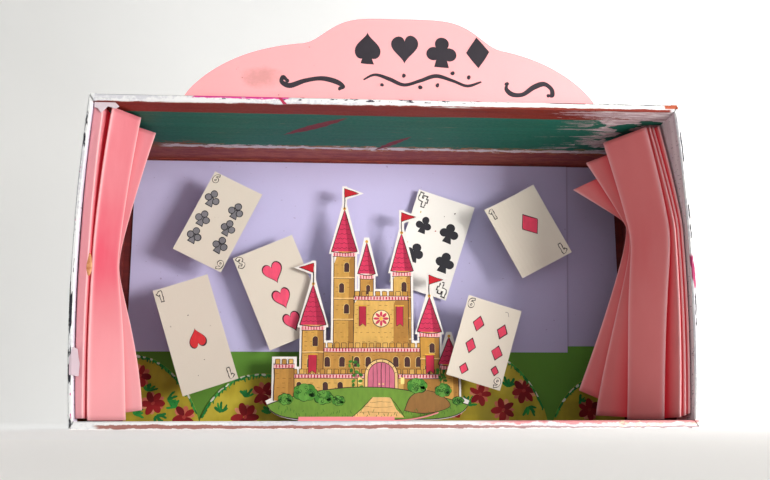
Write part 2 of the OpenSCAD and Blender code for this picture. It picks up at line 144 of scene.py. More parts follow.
class Paint:
    """A material whose finish is written as expressions on Value sockets."""

    def __init__(self, name):
        self.material = bpy.data.materials.new(name)
        self.material.use_nodes = True
        self.tree = self.material.node_tree
        self.shader = self.tree.nodes["Principled BSDF"]
        self.place = self.node("TexCoord", out="Object")

    def node(self, kind, settings=None, inputs=None, out=0):
        """Adds a node: its settings first, then the values or links of its sockets; gives one output, or a
        list of them all where out is None."""
        made = self.tree.nodes.new("ShaderNode" + kind)
        for key, value in (settings or {}).items():
            setattr(made, key, value)
        for key, value in (inputs or {}).items():
            self.feed(made.inputs[key], value)
        if out is None:
            return [Value(self, socket) for socket in made.outputs]
        return Value(self, made.outputs[out])

    def feed(self, socket, value):
        """Links a Value to a socket, or sets a plain number or colour on it."""
        if isinstance(value, Value):
            self.tree.links.new(value.socket, socket)
        else:
            socket.default_value = value

    def math(self, operation, a, b):
        """A Math node on two values or numbers."""
        return self.node("Math", {"operation": operation}, {0: a, 1: b})

    def step(self, value, low, high):
        """Smooth step from 0 at low to 1 at high."""
        return self.node("MapRange", {"interpolation_type": "SMOOTHSTEP"},
                         {"Value": value, "From Min": low, "From Max": high})

    def scaled(self, scale):
        """Object coordinates times a number or three numbers."""
        three = scale if isinstance(scale, tuple) else (scale,) * 3
        return self.node("VectorMath", {"operation": "MULTIPLY"}, {0: self.place, 1: three})

    def axes(self):
        """X, Y and Z of the object coordinates in millimetres."""
        return self.node("SeparateXYZ", None, {0: self.scaled(1 / MM)}, out=None)

    def noise(self, scale, detail=3.0, rough=0.55):
        """Fractal noise from 0 to 1; scale is cells per metre, one number or one for each axis."""
        return self.node("TexNoise", None, {"Vector": self.scaled(scale), "Scale": 1.0,
                                            "Detail": detail, "Roughness": rough})

    def mix(self, share, under, over):
        """Colour that goes from under to over as the share goes from 0 to 1."""
        return self.node("Mix", {"data_type": "RGBA"}, {0: share, 6: under, 7: over}, out=2)

    def tone(self, colour, share):
        """Colour times a grey share."""
        grey = self.node("CombineColor", None, {0: share, 1: share, 2: share})
        return self.node("Mix", {"data_type": "RGBA", "blend_type": "MULTIPLY"},
                         {0: 1.0, 6: colour, 7: grey}, out=2)

    def glow(self, colour, strength):
        """Lets the surface give off light of a colour."""
        self.feed(self.shader.inputs["Emission Color"], colour)
        self.shader.inputs["Emission Strength"].default_value = strength

    def finish(self, colour, rough, bump=None, depth=0.0, specular=0.25):
        """Feeds the shader; bump is a height from 0 to 1 and depth its size in millimetres."""
        self.feed(self.shader.inputs["Base Color"], colour)
        self.feed(self.shader.inputs["Roughness"], rough)
        self.shader.inputs["Specular IOR Level"].default_value = specular
        if bump is not None:
            normal = self.node("Bump", None, {"Strength": 1.0, "Distance": depth * MM, "Height": bump})
            self.feed(self.shader.inputs["Normal"], normal)
        return self.material


# Finishes

PAPER_CLOUDS = 14.0
PAPER_FIBRES = (900.0, 900.0, 2600.0)
PAPER_ROUGH = 0.86
PAPER_RELIEF = 0.05


def paper_grain(paint, clouds=PAPER_CLOUDS):
    """Noise of the paper's clouds, in cells per metre, and of its fine fibres."""
    return paint.noise(clouds, 4.0), paint.noise(PAPER_FIBRES, 2.0)


def paper_coat(paint, colour, cloud, fibre):
    """Dull paper: the fibres show in its sheen and, with the clouds, in its bump."""
    return paint.finish(colour, PAPER_ROUGH + (fibre - 0.5) * 0.1, fibre + cloud, PAPER_RELIEF)


def paper_finish(name, code, mottle):
    """Coloured paper: cloudy tone, and fine fibres in tone and bump."""
    paint = Paint(name)
    cloud, fibre = paper_grain(paint)
    share = 1.0 + (cloud - 0.5) * mottle * 2.0 + (fibre - 0.5) * mottle
    return paper_coat(paint, paint.tone(tint(code), share), cloud, fibre)


def lavender_finish():
    """Lavender paper with a few pencil specks: greyer past the slanted seam, with a thin painted shadow of
    the upper sheet's edge along it, and painted shade, browner and darker towards the right."""
    paint = Paint("lavender_paper")
    x, _, z = paint.axes()
    cloud, fibre = paper_grain(paint)
    past_seam = x - STAGE_HALF + SEAM_REACH - (z - SKY_LOW[2]) * SEAM_SLANT
    strip = past_seam.above(0.0, 0.15)
    # A thin painted shadow along the seam, as if thrown by the upper sheet's edge
    shade = strip * past_seam.below(0.9, 0.7)
    share = 1.0 + (cloud - 0.5) * 0.1 + (fibre - 0.5) * 0.05 - strip * 0.05 - shade * 0.3
    colour = paint.tone(tint("#bfbbe1"), share)
    specks = paint.noise(420.0, 1.0).above(0.765, 0.02)
    colour = paint.mix(specks * 0.5, colour, tint("#7f6f9c"))
    # Painted shade: browner and darker towards the right, as in the red light thrown off the curtains and
    # walls
    colour = paint.mix(x.above(PAINTED_SHADE_X, PAINTED_SHADE_RUN) * 0.4, colour, tint("#8a6c84"))
    return paper_coat(paint, colour, cloud, fibre)


def header_finish():
    """Pale pink card with a brown smudge and a few specks."""
    paint = Paint("pink_card")
    x, _, z = paint.axes()
    cloud, fibre = paper_grain(paint, 22.0)
    colour = paint.tone(tint("#f3a9ad"), 1.0 + (cloud - 0.5) * 0.07 + (fibre - 0.5) * 0.05)
    across = (x - SMUDGE_AT[0]) / SMUDGE_SIZE[0]
    up = (z - SMUDGE_AT[1]) / SMUDGE_SIZE[1]
    smear = paint.noise((120.0, 120.0, 160.0), 4.0, 0.7)
    smudge = (across * across + up * up + (smear - 0.5) * 2.4).below(0.55, 0.75)
    colour = paint.mix(smudge * 0.5, colour, tint("#b07f74"))
    specks = paint.noise(330.0, 1.0).above(0.775, 0.012)
    colour = paint.mix(specks * 0.6, colour, tint("#a5605f"))
    return paper_coat(paint, colour, cloud, fibre)


# Height of the curtains' waist, about which painted shade deepens their red
WAIST_Z = 92.0


def curtain_finish():
    """Salmon paper: pale along each ridge, partly wear and partly painted highlight; deep red painted shade
    in the valleys, with a weak painted glow for the red light the paper throws about; painted shade, a
    deeper red in blotches at the waist. The left curtain has painted light, paler at its foot and on its
    front pleat; the right one is warmer, and brighter by painted light."""
    paint = Paint("salmon_paper")
    pleat = paint.node("Attribute", {"attribute_name": "pleat"}, out="Color")
    ridge_wear_and_highlight, valley_shade, _ = paint.node("SeparateColor", None, {0: pleat}, out=None)
    x, y, z = paint.axes()
    left, right = x.below(0.0, 1.0), x.above(0.0, 1.0)
    cloud = paint.noise((18.0, 18.0, 7.0), 4.0)
    fibre = paint.noise((1400.0, 1400.0, 420.0), 2.0)
    crease = paint.noise((260.0, 260.0, 24.0), 3.0)

    colour = paint.mix(cloud.above(0.5, 0.2), tint("#c4646f"), tint("#cf7f88"))
    # Painted shade: a deeper red in blotches about the waist
    waist_shade = abs(z - WAIST_Z).below(20.0, 22.0) * cloud.below(0.52, 0.15)
    colour = paint.mix(waist_shade * 0.8, colour, tint("#cc425c"))
    # Painted light: the left curtain paler towards its foot
    colour = paint.mix(left * z.below(48.0, 40.0) * 0.6, colour, tint("#dda1a6"))
    # The right curtain warmer, and brighter by painted light
    colour = paint.mix(right * 0.6, colour, tint("#cb6e69"))
    colour = paint.tone(colour, 1.0 + right * 0.25)
    # Painted light: the left curtain's front pleat paler
    front_pleat_light = left * (y - FRONT_Y).below(5.0, 2.0)
    colour = paint.mix(front_pleat_light * 0.7, colour, tint("#d99aa2"))
    # Painted shade: the valleys go deep red
    colour = paint.mix(valley_shade, colour, tint("#b01a2a"))
    # Pale along each ridge: partly wear, partly a painted highlight
    colour = paint.mix((ridge_wear_and_highlight ** 6.0) * (0.4 + cloud * 0.6), colour, tint("#eeb9bc"))
    # A painted glow in the valleys, for the red light the paper throws about
    paint.glow(paint.mix(valley_shade ** 0.6, tint("#000000"), tint("#a81826")), 0.4)
    return paint.finish(colour, 0.84, fibre * 0.3 + crease, 0.12)


def drawn_finish(name, streaks):
    """Ink and paint in the colours of the drawing's own attribute, with pen or brush streaks in the tone."""
    paint = Paint(name)
    ink = paint.node("Attribute", {"attribute_name": "ink"}, out="Color")
    cloud = paint.noise(70.0, 3.0)
    streak = paint.noise(streaks, 3.0)
    colour = paint.tone(ink, 1.0 + (cloud - 0.5) * 0.34 + (streak - 0.5) * 0.5)
    return paint.finish(colour, 0.62 + streak * 0.3, streak, 0.03)


def bush_finish():
    """Poster paint: mustard yellow over olive in upright brush strokes, thinner and brighter in places."""
    paint = Paint("olive_poster_paint")
    stroke = paint.noise((150.0, 1.0, 30.0), 4.0)
    cloud = paint.noise(40.0, 3.0)
    colour = paint.mix(stroke.above(0.5, 0.2), tint("#a39221"), tint("#b5a42d"))
    colour = paint.mix(cloud.above(0.56, 0.1) * 0.7, colour, tint("#cbbd42"))
    colour = paint.mix(cloud.below(0.4, 0.08) * 0.5, colour, tint("#857d24"))
    return paint.finish(colour, 0.55 + stroke * 0.35, stroke, 0.18, 0.35)


def tray_finish():
    """Brush paint on printed board, laid by place: white outside and on the rims, where dark print shows
    through; maroon walls and floor, with a pale strip down each end wall at the front; a banded ceiling."""
    paint = Paint("brush_painted_board")
    x, y, z = paint.axes()
    # Takes the end walls' bow out of x, so that a limit across the box holds at every height
    lift = z / MID_Z - 1.0
    x = x * (1.0 - (1.0 - lift * lift) * (END_BOW / (BOX_HALF + END_BOW)))
    depth = y - FRONT_Y
    along = paint.noise((16.0, 260.0, 260.0), 4.0) - 0.5
    upright = paint.noise((260.0, 260.0, 18.0), 4.0) - 0.5
    fine = paint.noise(520.0, 3.0) - 0.5
    ragged = paint.noise((130.0, 420.0, 130.0), 4.0, 0.65) - 0.5
    outside = rim_paint(paint, x, z, depth, along, upright, fine, ragged)

    maroon = paint.mix((upright + along).above(0.0, 0.2), tint("#6d2422"), tint("#581a1c"))
    reach = 9.0 + x.above(0.0, 1.0) * 16.0
    pale_strip = abs(x).above(END_X - 1.5, 0.4) * depth.below(reach + ragged * 6.0, 1.0)
    pencil = paint.noise((1.0, 260.0, 900.0), 2.0).above(0.66, 0.02) * depth.below(14.0, 4.0)
    chalk = paint.mix(upright.above(0.02, 0.15), tint("#dfd4d8"), tint("#cfc1c7"))
    chalk = paint.mix(x.below(0.0, 1.0), chalk, tint("#d8d2e6"))
    walls = paint.mix(pale_strip, maroon, paint.mix(pencil * 0.7, chalk, tint("#77727a")))
    ceiling = ceiling_paint(paint, x, y, depth, along, ragged)
    inside = paint.mix(z.above(CEILING_Z - 0.4, 0.2), walls, ceiling)

    within = abs(x).below(END_X + 0.3, 0.15) * z.above(FLOOR_Z - 0.3, 0.15)
    within = within * z.below(CEILING_Z + 0.3, 0.15) * depth.above(1.2 + ragged * 0.8, 0.2)
    within = within * depth.below(TRAY_HIGH[1] - FRONT_Y - 1.0, 0.2)
    colour = paint.mix(within, outside, inside)
    relief = along * 0.5 + upright * 0.5 + fine * 0.4
    return paint.finish(colour, 0.62 + fine * 0.3, relief, 0.15, 0.35)


# The ceiling's bands, as depths behind the rim, and its red brush marks: start, end and half width
TEAL_FROM, RUST_FROM = 16.5, 79.0
RED_MARKS = [((-59.0, -1.0), (-22.0, -34.0), 3.4), ((-4.0, 28.0), (17.0, -2.0), 2.4)]
# The white corner's edge, a parabola across y: where it lies farthest right, and its steepness
SWATH_AT = (119.0, -8.0)
SWATH_STEEP = 0.0115


def ceiling_paint(paint, x, y, depth, along, ragged):
    """The ceiling from front to back: a red-brown strip, teal, a broken chalk line and a rust strip, with
    two red brush marks and a dry-brushed white corner."""
    teal = paint.mix(along.above(0.0, 0.25), tint("#12725f"), tint("#0f6654"))
    red_brown = paint.mix(along.above(0.05, 0.2), tint("#8a2c1c"), tint("#772318"))
    rust = paint.mix((along + ragged).above(0.0, 0.18), tint("#8d393b"), tint("#ab5a48"))
    scratch = paint.noise((60.0, 900.0, 60.0), 3.0, 0.7)
    teal = paint.mix(scratch.above(0.68, 0.02) * 0.6, teal, tint("#8d7a68"))

    colour = paint.mix(depth.above(TEAL_FROM + along * 3.0, 0.4), red_brown, teal)
    colour = paint.mix(depth.above(RUST_FROM + ragged * 10.0 + along * 6.0, 0.7), colour, rust)
    past = depth - RUST_FROM
    earth = abs(past - 1.0).below(4.5 + ragged * 22.0, 1.2) * along.above(-0.02, 0.06)
    colour = paint.mix(earth * 0.85, colour, tint("#b0703a"))
    stain = x.below(-112.0 + along * 60.0, 5.0) * abs(past + 1.0).below(6.0 + ragged * 30.0, 1.5)
    colour = paint.mix(stain * 0.7, colour, tint("#8c5034"))
    chalk_line = abs(past - 0.5 - along * 6.0).below(2.2 + ragged * 15.0, 0.3) * x.above(-134.0, 4.0)
    colour = paint.mix(chalk_line, colour, tint("#dbd6da"))
    for start, end, half in RED_MARKS:
        colour = paint.mix(brush_mark(x, y, start, end, half, ragged), colour, tint("#7b2430"))

    from_bend = y - SWATH_AT[1]
    swath = x - SWATH_AT[0] + from_bend * from_bend * SWATH_STEEP
    streak = paint.noise((24.0, 430.0, 24.0), 4.0, 0.7) - 0.5
    thick = (swath + streak * 150.0 + ragged * 50.0 - depth.below(16.0, 2.0) * 9.0).above(4.0, 0.9)
    thick = thick * depth.below(82.0 + ragged * 10.0, 1.0)
    blobs = paint.noise((52.0, 95.0, 52.0), 3.0)
    bare = (blobs + x.above(136.0, 5.0) * 0.09).above(0.57, 0.012)
    bare = bare * x.above(112.0, 6.0) * depth.above(14.0, 3.0)
    pale = paint.mix((streak + ragged).above(0.0, 0.08), tint("#e6dee1"), tint("#bfaab1"))
    return paint.mix(thick * (1.0 - bare), colour, pale)


DARK_PRINT = "#1d1e29"
MAGENTA = "#d3358f"
# The dashes of print and the red blot along the right edge: their heights and places across
DASHES_Z = (152.0, 109.0, 61.0)
BLOT_Z = 82.0
DASHES_X = BOX_HALF - 1.1
BLOT_X = BOX_HALF - 1.4


def rim_paint(paint, x, z, depth, along, upright, fine, ragged):
    """White strokes that follow each wall, toned down on the right side behind the rim, under the marks of
    the ends, the top and the foot."""
    side = abs(x).above(END_X - 0.6, 0.3)
    stroke = along + (upright - along) * side
    colour = paint.mix((stroke + fine * 0.6).above(0.05, 0.1), tint("#e0e2e3"), tint("#c8c9d0"))
    colour = paint.tone(colour, 1.0 - x.above(BOX_HALF - 0.4, 0.3) * depth.above(3.0, 2.0) * 0.45)
    colour = end_marks(paint, colour, x, z, depth, ragged)
    colour = top_marks(paint, colour, x, z, depth, along, ragged)
    return foot_marks(paint, colour, x, z, depth, along, fine, ragged)


def end_marks(paint, colour, x, z, depth, ragged):
    """Dark print and magenta spots left bare on the left rim, most of them low down, dashes of print along
    the right edge and a red blot among them."""
    marks = paint.noise((340.0, 160.0, 56.0), 4.0, 0.66)
    left = x.below(-END_X - 0.7, 0.3) * depth.below(7.0 + ragged * 10.0, 2.0)
    right = abs(x - DASHES_X - ragged * 1.6).below(0.4, 0.15)
    dashes = sum(abs(z - dash).below(9.0, 3.0) for dash in DASHES_Z)
    low = z.below(112.0, 14.0) * 0.13 + abs(z - 54.0).below(18.0, 6.0) * 0.08
    bareness = left * (low + 0.02) + right * (dashes * 0.3 - 0.05)
    bare = (marks + bareness).above(0.66, 0.012) * (left + right)
    colour = paint.mix(bare, colour, tint(DARK_PRINT))
    spots = paint.noise((300.0, 300.0, 150.0), 2.0).above(0.7, 0.012) * left
    colour = paint.mix(spots * 0.9, colour, tint(MAGENTA))

    rise = z - BLOT_Z
    blot = abs(x - BLOT_X + rise * 0.08).below(0.9 + ragged * 2.4, 0.2) * abs(rise).below(9.0, 1.5)
    blot = blot * depth.below(4.0 + ragged * 4.0, 1.0)
    return paint.mix(blot * marks.above(0.45, 0.03), colour, tint("#9c2458"))


def top_marks(paint, colour, x, z, depth, along, ragged):
    """On the top rim: scrawls, a dark line along the edge, a magenta band, a red tick, a red-brown lip over
    the ceiling and a rust corner."""
    rim_top = TRAY_HIGH[2]
    scrawl = paint.noise((150.0, 420.0, 420.0), 4.0, 0.7)
    written = z.above(rim_top - 1.9, 0.3) * depth.below(5.0, 1.0)
    written = written * x.above(-98.0, 8.0) * x.below(64.0, 10.0)
    colour = paint.mix(written * scrawl.above(0.57, 0.012), colour, tint("#26243a"))
    edge_line = z.above(rim_top - 0.7, 0.2) * depth.below(2.2, 0.5)
    edge_line = edge_line * x.above(88.0, 6.0) * x.below(150.0, 2.0)
    colour = paint.mix(edge_line * scrawl.above(0.47, 0.02), colour, tint(DARK_PRINT))
    band = x.above(-106.0 + ragged * 10.0, 0.6) * x.below(-54.0 + ragged * 60.0, 3.0)
    band = band * z.above(rim_top - 1.3 + ragged * 3.0, 0.3) * depth.below(6.0, 1.5)
    colour = paint.mix(band * (along + ragged).above(-0.2, 0.05), colour, tint(MAGENTA))
    tick = abs(x + 58.0 + (z - rim_top + 2.0) * 0.9).below(0.9 + ragged * 2.0, 0.2)
    tick = tick * z.above(rim_top - 4.0, 0.3) * depth.below(5.0, 1.0)
    colour = paint.mix(tick, colour, tint("#b0244e"))
    lip = (z + ragged * 1.6).below(CEILING_Z + 0.1 + x.above(20.0, 130.0) * 1.1, 0.2)
    lip = lip * z.above(CEILING_Z - 0.8, 0.2) * depth.below(2.0, 0.4) * abs(x).below(END_X - 2.0, 1.0)
    colour = paint.mix(lip * along.above(-0.12, 0.04), colour, tint("#7a2a1e"))
    rust_corner = z.above(rim_top - 2.4, 0.4) * x.above(152.0 + ragged * 8.0, 0.6) * depth.below(7.0, 2.0)
    return paint.mix(rust_corner, colour, tint("#a04a2c"))


def foot_marks(paint, colour, x, z, depth, along, fine, ragged):
    """On the bottom rim: a blush and cream strokes at the right, brown underneath and a white fringe."""
    foot = z.below(WALL_T + 0.2, 0.3) * depth.below(2.8, 0.4)
    blush = foot * (x + along * 170.0).above(40.0, 40.0) * (z + ragged * 6.0).above(2.7, 0.5)
    colour = paint.mix(blush * 0.85, colour, tint("#cf7276"))
    cream = foot * (x + ragged * 60.0).above(118.0, 8.0) * (along + fine).above(0.02, 0.05)
    colour = paint.mix(cream * 0.7, colour, tint("#f0d3b4"))
    rightward = x.above(60.0, 60.0)
    underneath = (z + ragged * 2.6 + along * 1.4).below(2.1 - rightward * 0.9, 0.2)
    underneath = underneath * x.above(-146.0 + along * 20.0, 2.0)
    colour = paint.mix(underneath, colour, paint.mix(rightward, tint("#96655d"), tint("#a48f94")))
    fringe = (z + ragged * 3.0).below(0.35, 0.12) * depth.below(3.0, 0.5)
    return paint.mix(fringe, colour, tint("#e9e6e5"))


def brush_mark(x, y, start, end, half, ragged):
    """Mask of a tapered brush mark: the distance from its line is under a half width that thins to both
    ends."""
    way = np.array(end) - np.array(start)
    length = float(np.hypot(*way))
    right, ahead = way / length
    run = (x - start[0]) * right + (y - start[1]) * ahead
    off = abs((x - start[0]) * ahead - (y - start[1]) * right)
    share = run / length
    width = share * (1.0 - share) * 4.0 * half + ragged * 3.0
    return off.below(width, 0.5) * share.above(0.0, 0.02) * share.below(1.0, 0.02)


# Mesh kit

def cells(rows, cols, wrap):
    """Two triangles for each cell of a grid of points, row by row; with wrap the columns close up."""
    r, c = np.meshgrid(np.arange(rows - 1), np.arange(cols if wrap else cols - 1), indexing="ij")
    n = (c + 1) % cols
    a, b, d, e = r * cols + c, r * cols + n, (r + 1) * cols + n, (r + 1) * cols + c
    return np.stack([a, b, d, a, d, e], -1).reshape(-1, 3)


def fan(pole, ring):
    """Triangles from one pole to each side of a closed ring of points."""
    return np.stack([np.full(len(ring), pole), ring, np.roll(ring, -1)], -1)


def put_in_scene(name, data):
    """A new object at the origin for a mesh, lamp or camera, linked to the scene."""
    made = bpy.data.objects.new(name, data)
    bpy.context.scene.collection.objects.link(made)
    return made


def make_piece(name, points, triangles, material, colours=None, layer="ink", smooth=False):
    """A mesh object at the origin from whole arrays of points in millimetres, triangles and colours."""
    mesh = bpy.data.meshes.new(name)
    mesh.vertices.add(len(points))
    mesh.vertices.foreach_set("co", (points * MM).astype(np.float32).ravel())
    mesh.loops.add(3 * len(triangles))
    mesh.loops.foreach_set("vertex_index", triangles.astype(np.int32).ravel())
    mesh.polygons.add(len(triangles))
    mesh.polygons.foreach_set("loop_start", np.arange(0, 3 * len(triangles), 3, dtype=np.int32))
    if colours is not None:
        attribute = mesh.attributes.new(layer, "FLOAT_COLOR", "POINT")
        attribute.data.foreach_set("color", colours.astype(np.float32).ravel())
    mesh.update(calc_edges=True)
    mesh.polygons.foreach_set("use_smooth", np.full(len(triangles), smooth))
    mesh.materials.append(material)
    piece = put_in_scene(name, mesh)
    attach(piece, "root")
    return piece


# Drawing kit

def curve(points, count):
    """A smooth line through the points: Catmull-Rom spans, each slope from a point's two neighbours."""
    p = np.asarray(points, float)
    p = np.vstack([2 * p[0] - p[1], p, 2 * p[-1] - p[-2]])
    t = np.linspace(0, len(p) - 3, count)
    i = np.minimum(t.astype(int), len(p) - 4)
    f = (t - i)[:, None]
    a, b, c, d = p[i], p[i + 1], p[i + 2], p[i + 3]
    first, second, third = c - a, 2 * a - 5 * b + 4 * c - d, 3 * b - a - 3 * c + d
    return b + first * f / 2 + second * f ** 2 / 2 + third * f ** 3 / 2


def straight(points, count):
    """Points spaced evenly along straight spans."""
    p = np.asarray(points, float)
    run = np.concatenate([[0], np.cumsum(np.hypot(*np.diff(p, axis=0).T))])
    t = np.linspace(0, run[-1], count)
    return np.stack([np.interp(t, run, p[:, 0]), np.interp(t, run, p[:, 1])], -1)


def toward(degrees):
    """The step of length 1 at an angle from the right."""
    angle = np.radians(degrees)
    return np.array([np.cos(angle), np.sin(angle)])


def turned_about(middle, u, v, degrees):
    """Points (u, v) turned by some degrees and moved to a middle."""
    c, s = toward(degrees)
    return np.stack([middle[0] + c * u - s * v, middle[1] + s * u + c * v], -1)


def oval(middle, width, height, turn=0.0, count=28):
    """An ellipse turned by some degrees about its middle."""
    t = np.linspace(0, 2 * np.pi, count, endpoint=False)
    return turned_about(middle, np.cos(t) * width / 2, np.sin(t) * height / 2, turn)


def heart(middle, width, height, turn=0.0, count=48):
    """The heart curve: across is the cube of the sine, up is a sum of four cosines."""
    t = np.linspace(0, 2 * np.pi, count, endpoint=False)
    u = np.sin(t) ** 3 * width / 2
    v = (13 * np.cos(t) - 5 * np.cos(2 * t) - 2 * np.cos(3 * t) - np.cos(4 * t) + 2.5) / 29 * height
    return turned_about(middle, u, v, turn)


def polygon(corners, count=32):
    """The closed outline through the corners, with points along its sides."""
    ring = np.vstack([corners, corners[:1]])
    return straight(ring, count + 1)[:-1]


def shaky(points, amount, closed=False):
    """Points moved as by an unsteady hand: three sine waves of chance phase along the line."""
    t = np.linspace(0, 2 * np.pi, len(points), endpoint=not closed)[:, None]
    waves = [np.sin(k * t + hand.uniform(0, 2 * np.pi, 2)) / k for k in (1, 2, 5)]
    return points + amount * sum(waves)


class Drawing:
    """Films of ink and paint on one face, each later one a step higher; place maps (u, v, height)."""

    sunk = 0.06

    def __init__(self, place, step=0.005):
        self.place = place
        self.step = step
        self.height = 0.02
        self.points, self.triangles, self.colours = [], [], []
        self.count = 0

    def side_by_side(self, items, layers=1):
        """Gives the items one by one, each from the same height, or from a few heights in turn where
        neighbours lap; what follows them is over them all."""
        base = top = self.height
        for k, item in enumerate(items):
            self.height = base + k % layers * self.step
            yield item
            top = max(top, self.height)
        self.height = top

    def add(self, points, triangles, colour):
        """Keeps one film, with its colour made a little lighter or darker, and goes a step higher."""
        tone = np.array(tint(colour))
        tone[:3] *= hand.uniform(0.94, 1.06)
        self.points.append(points)
        self.triangles.append(triangles + self.count)
        self.colours.append(np.tile(tone, (len(points), 1)))
        self.count += len(points)
        self.height += self.step

    def fill(self, outline, colour, shake=0.1, rings=3):
        """A closed film over a star-shaped outline: rings shrink evenly from the outline to its middle, on
        top of one ring under the face; a pole closes each side."""
        outline = shaky(np.asarray(outline, float), shake, closed=True)
        n = len(outline)
        middle = outline.mean(0)
        shares = np.concatenate([[1.0], np.linspace(1, 0, rings + 1)[:-1]])
        heights = np.where(np.arange(rings + 1) == 0, -self.sunk, self.height)
        flat = middle + shares[:, None, None] * (outline - middle)
        ring_points = self.place(flat[..., 0], flat[..., 1], heights[:, None] + 0 * flat[..., 0])
        poles = self.place(middle[:1].repeat(2), middle[1:].repeat(2), np.array([-self.sunk, self.height]))
        points = np.vstack([ring_points.reshape(-1, 3), poles])
        first = np.arange(n)
        last = first + rings * n
        lids = [fan(len(points) - 2, first[::-1]), fan(len(points) - 1, last)]
        self.add(points, np.vstack([cells(rings + 1, n, True), *lids]), colour)

    def line(self, path, width, colour, shake=0.1, taper=0.0):
        """A closed ribbon: the path moved to both sides by half the width, on and under the face. Taper
        thins the ends by that share of the width."""
        path = shaky(np.asarray(path, float), shake)
        way = np.gradient(path, axis=0)
        way /= np.maximum(np.hypot(*way.T), 1e-9)[:, None]
        side = np.stack([-way[:, 1], way[:, 0]], -1)
        t = np.linspace(-1, 1, len(path))
        half = (width / 2 * (1 - taper * t ** 4) * (1 + 0.12 * np.sin(9 * t + hand.uniform(0, 6))))[:, None]
        flat = np.stack([path - side * half, path + side * half, path + side * half, path - side * half], 1)
        heights = np.tile([-self.sunk, -self.sunk, self.height, self.height], (len(path), 1))
        points = self.place(flat[..., 0], flat[..., 1], heights).reshape(-1, 3)
        last = 4 * (len(path) - 1)
        caps = np.array([[0, 2, 1], [0, 3, 2], [last, last + 1, last + 2], [last, last + 2, last + 3]])
        self.add(points, np.vstack([cells(len(path), 4, True)[:, ::-1], caps[:, ::-1]]), colour)

    def box(self, low, high, colour, shake=0.1):
        """A filled rectangle between two corners."""
        corners = np.array([low, (high[0], low[1]), high, (low[0], high[1])])
        self.fill(polygon(corners, 20), colour, shake, 1)

    def made(self, name, material, slot):
        """Makes one piece of all the films."""
        triangles, colours = np.vstack(self.triangles), np.vstack(self.colours)
        make_piece(name, np.vstack(self.points), triangles, material, colours)


# Curtains

CURTAIN_T = 0.4
FOLD_R = 0.35
WAIST_SOFTNESS = 0.12
CURTAIN_RINGS = 57
FOLD_POINTS = 7
PANEL_POINTS = 5
# How fast a ridge's pale tone, its wear and painted highlight, and a valley's painted shade fade over a
# panel, and the width under which a pleat is narrow
RIDGE_FADE = 6.0
VALLEY_FADE = 3.0
NARROW_VALLEY_FADE = 1.2
NARROW_PLEAT = 4.0
# Each fold, front to back: reach from the wall and depth behind the rim at the top, waist and bottom, then
# the gap under the ceiling, the waist's height, the gap above the floor and how soon it settles below
LEFT_FOLDS = [
    [[0.4, 0.9, 0.5], [3.4, 3.2, 3.4], [2, 84, 1.5, 1]],
    [[5.2, 5.3, 4.1], [3, 3, 3], [2, 84, 1.5, 1]],
    [[6.4, 6.1, 4.9], [17, 8, 14], [2, 84, 1.5, 1]],
    [[9.2, 7, 5.7], [5.6, 4.6, 5], [1.5, 84, 0.5, 1]],
    [[21, 16.2, 21], [23, 23, 23], [1.5, 84, 0.5, 3]],
    [[13.7, 10.4, 13.7], [33, 32, 33], [2.5, 84, 4, 2]],
    [[25.5, 12.3, 25.4], [46, 43, 46], [3, 86, 6, 1.8]],
    [[0.5, 0.5, 0.5], [56, 50, 56], [4, 84, 8, 1]],
]
RIGHT_FOLDS = [
    [[0.5, 0.5, 0.5], [25, 8, 8], [2, 101, 3.5, 1]],
    [[2.4, 1.4, 1.2], [18, 3.6, 2.6], [2, 101, 3.5, 1]],
    [[3.8, 2.3, 2.3], [24, 7.5, 8.5], [2, 101, 3, 1]],
    [[5, 3.2, 3.3], [20, 5, 3.4], [2, 101, 2.5, 1]],
    [[6.2, 4.1, 4.4], [25, 8.5, 9.5], [2, 101, 2, 1]],
    [[7.4, 5, 5.6], [18, 4.8, 4.8], [2, 101, 1.5, 1]],
    [[8.5, 5.9, 9.2], [27, 14, 26], [2.2, 101, 1, 2.5]],
    [[9.7, 6.8, 10.7], [19, 9, 15], [2.5, 101, 0.5, 2.5]],
    [[28.9, 20, 24.8], [40, 35, 33], [6, 101, 0.5, 4]],
    [[19.5, 14, 18], [48, 42, 43], [9, 103, 1.5, 2]],
    [[35.3, 15.5, 36.5], [57, 49, 54], [13.5, 106, 2.8, 1.3]],
    [[24.2, 11.4, 24.5], [63, 56, 61], [20, 110, 9, 1.2]],
    [[41.2, 12.2, 43.1], [71, 63, 69], [27, 116, 17.6, 1]],
    [[0.5, 0.5, 0.5], [80, 70, 78], [30, 118, 22, 1]],
]


def fold_lines(folds):
    """Reach, depth and height of every fold on every ring: from the waist each value goes to its end by a
    flare, the root of t squared plus softness squared, less the softness, scaled to reach 1. Under the
    waist the flare is 1 less its rest to the power at which the fold settles."""
    f = np.array([[reach, depth, gaps[:3]] for reach, depth, gaps in folds], float)
    settle = np.array([gaps[3] for reach, depth, gaps in folds], float)
    s = np.linspace(-1, 1, CURTAIN_RINGS)[:, None]
    k = WAIST_SOFTNESS
    flare = (np.sqrt(s * s + k * k) - k) / (np.sqrt(1 + k * k) - k)
    flare = np.where(s > 0, flare, 1 - (1 - flare) ** settle)
    end = np.where(s[..., None] > 0, f[None, :, :2, 0], f[None, :, :2, 2])
    spread = f[None, :, :2, 1] + (end - f[None, :, :2, 1]) * flare[..., None]
    waist = FLOOR_Z + f[:, 2, 1]
    over, under = CEILING_Z - f[:, 2, 0] - waist, waist - FLOOR_Z - f[:, 2, 2]
    z = waist + np.where(s > 0, over, under) * s
    return np.concatenate([spread, z[..., None]], -1)


def unit(v):
    """The vectors scaled to length 1."""
    return v / np.maximum(np.linalg.norm(v, axis=-1, keepdims=True), 1e-9)


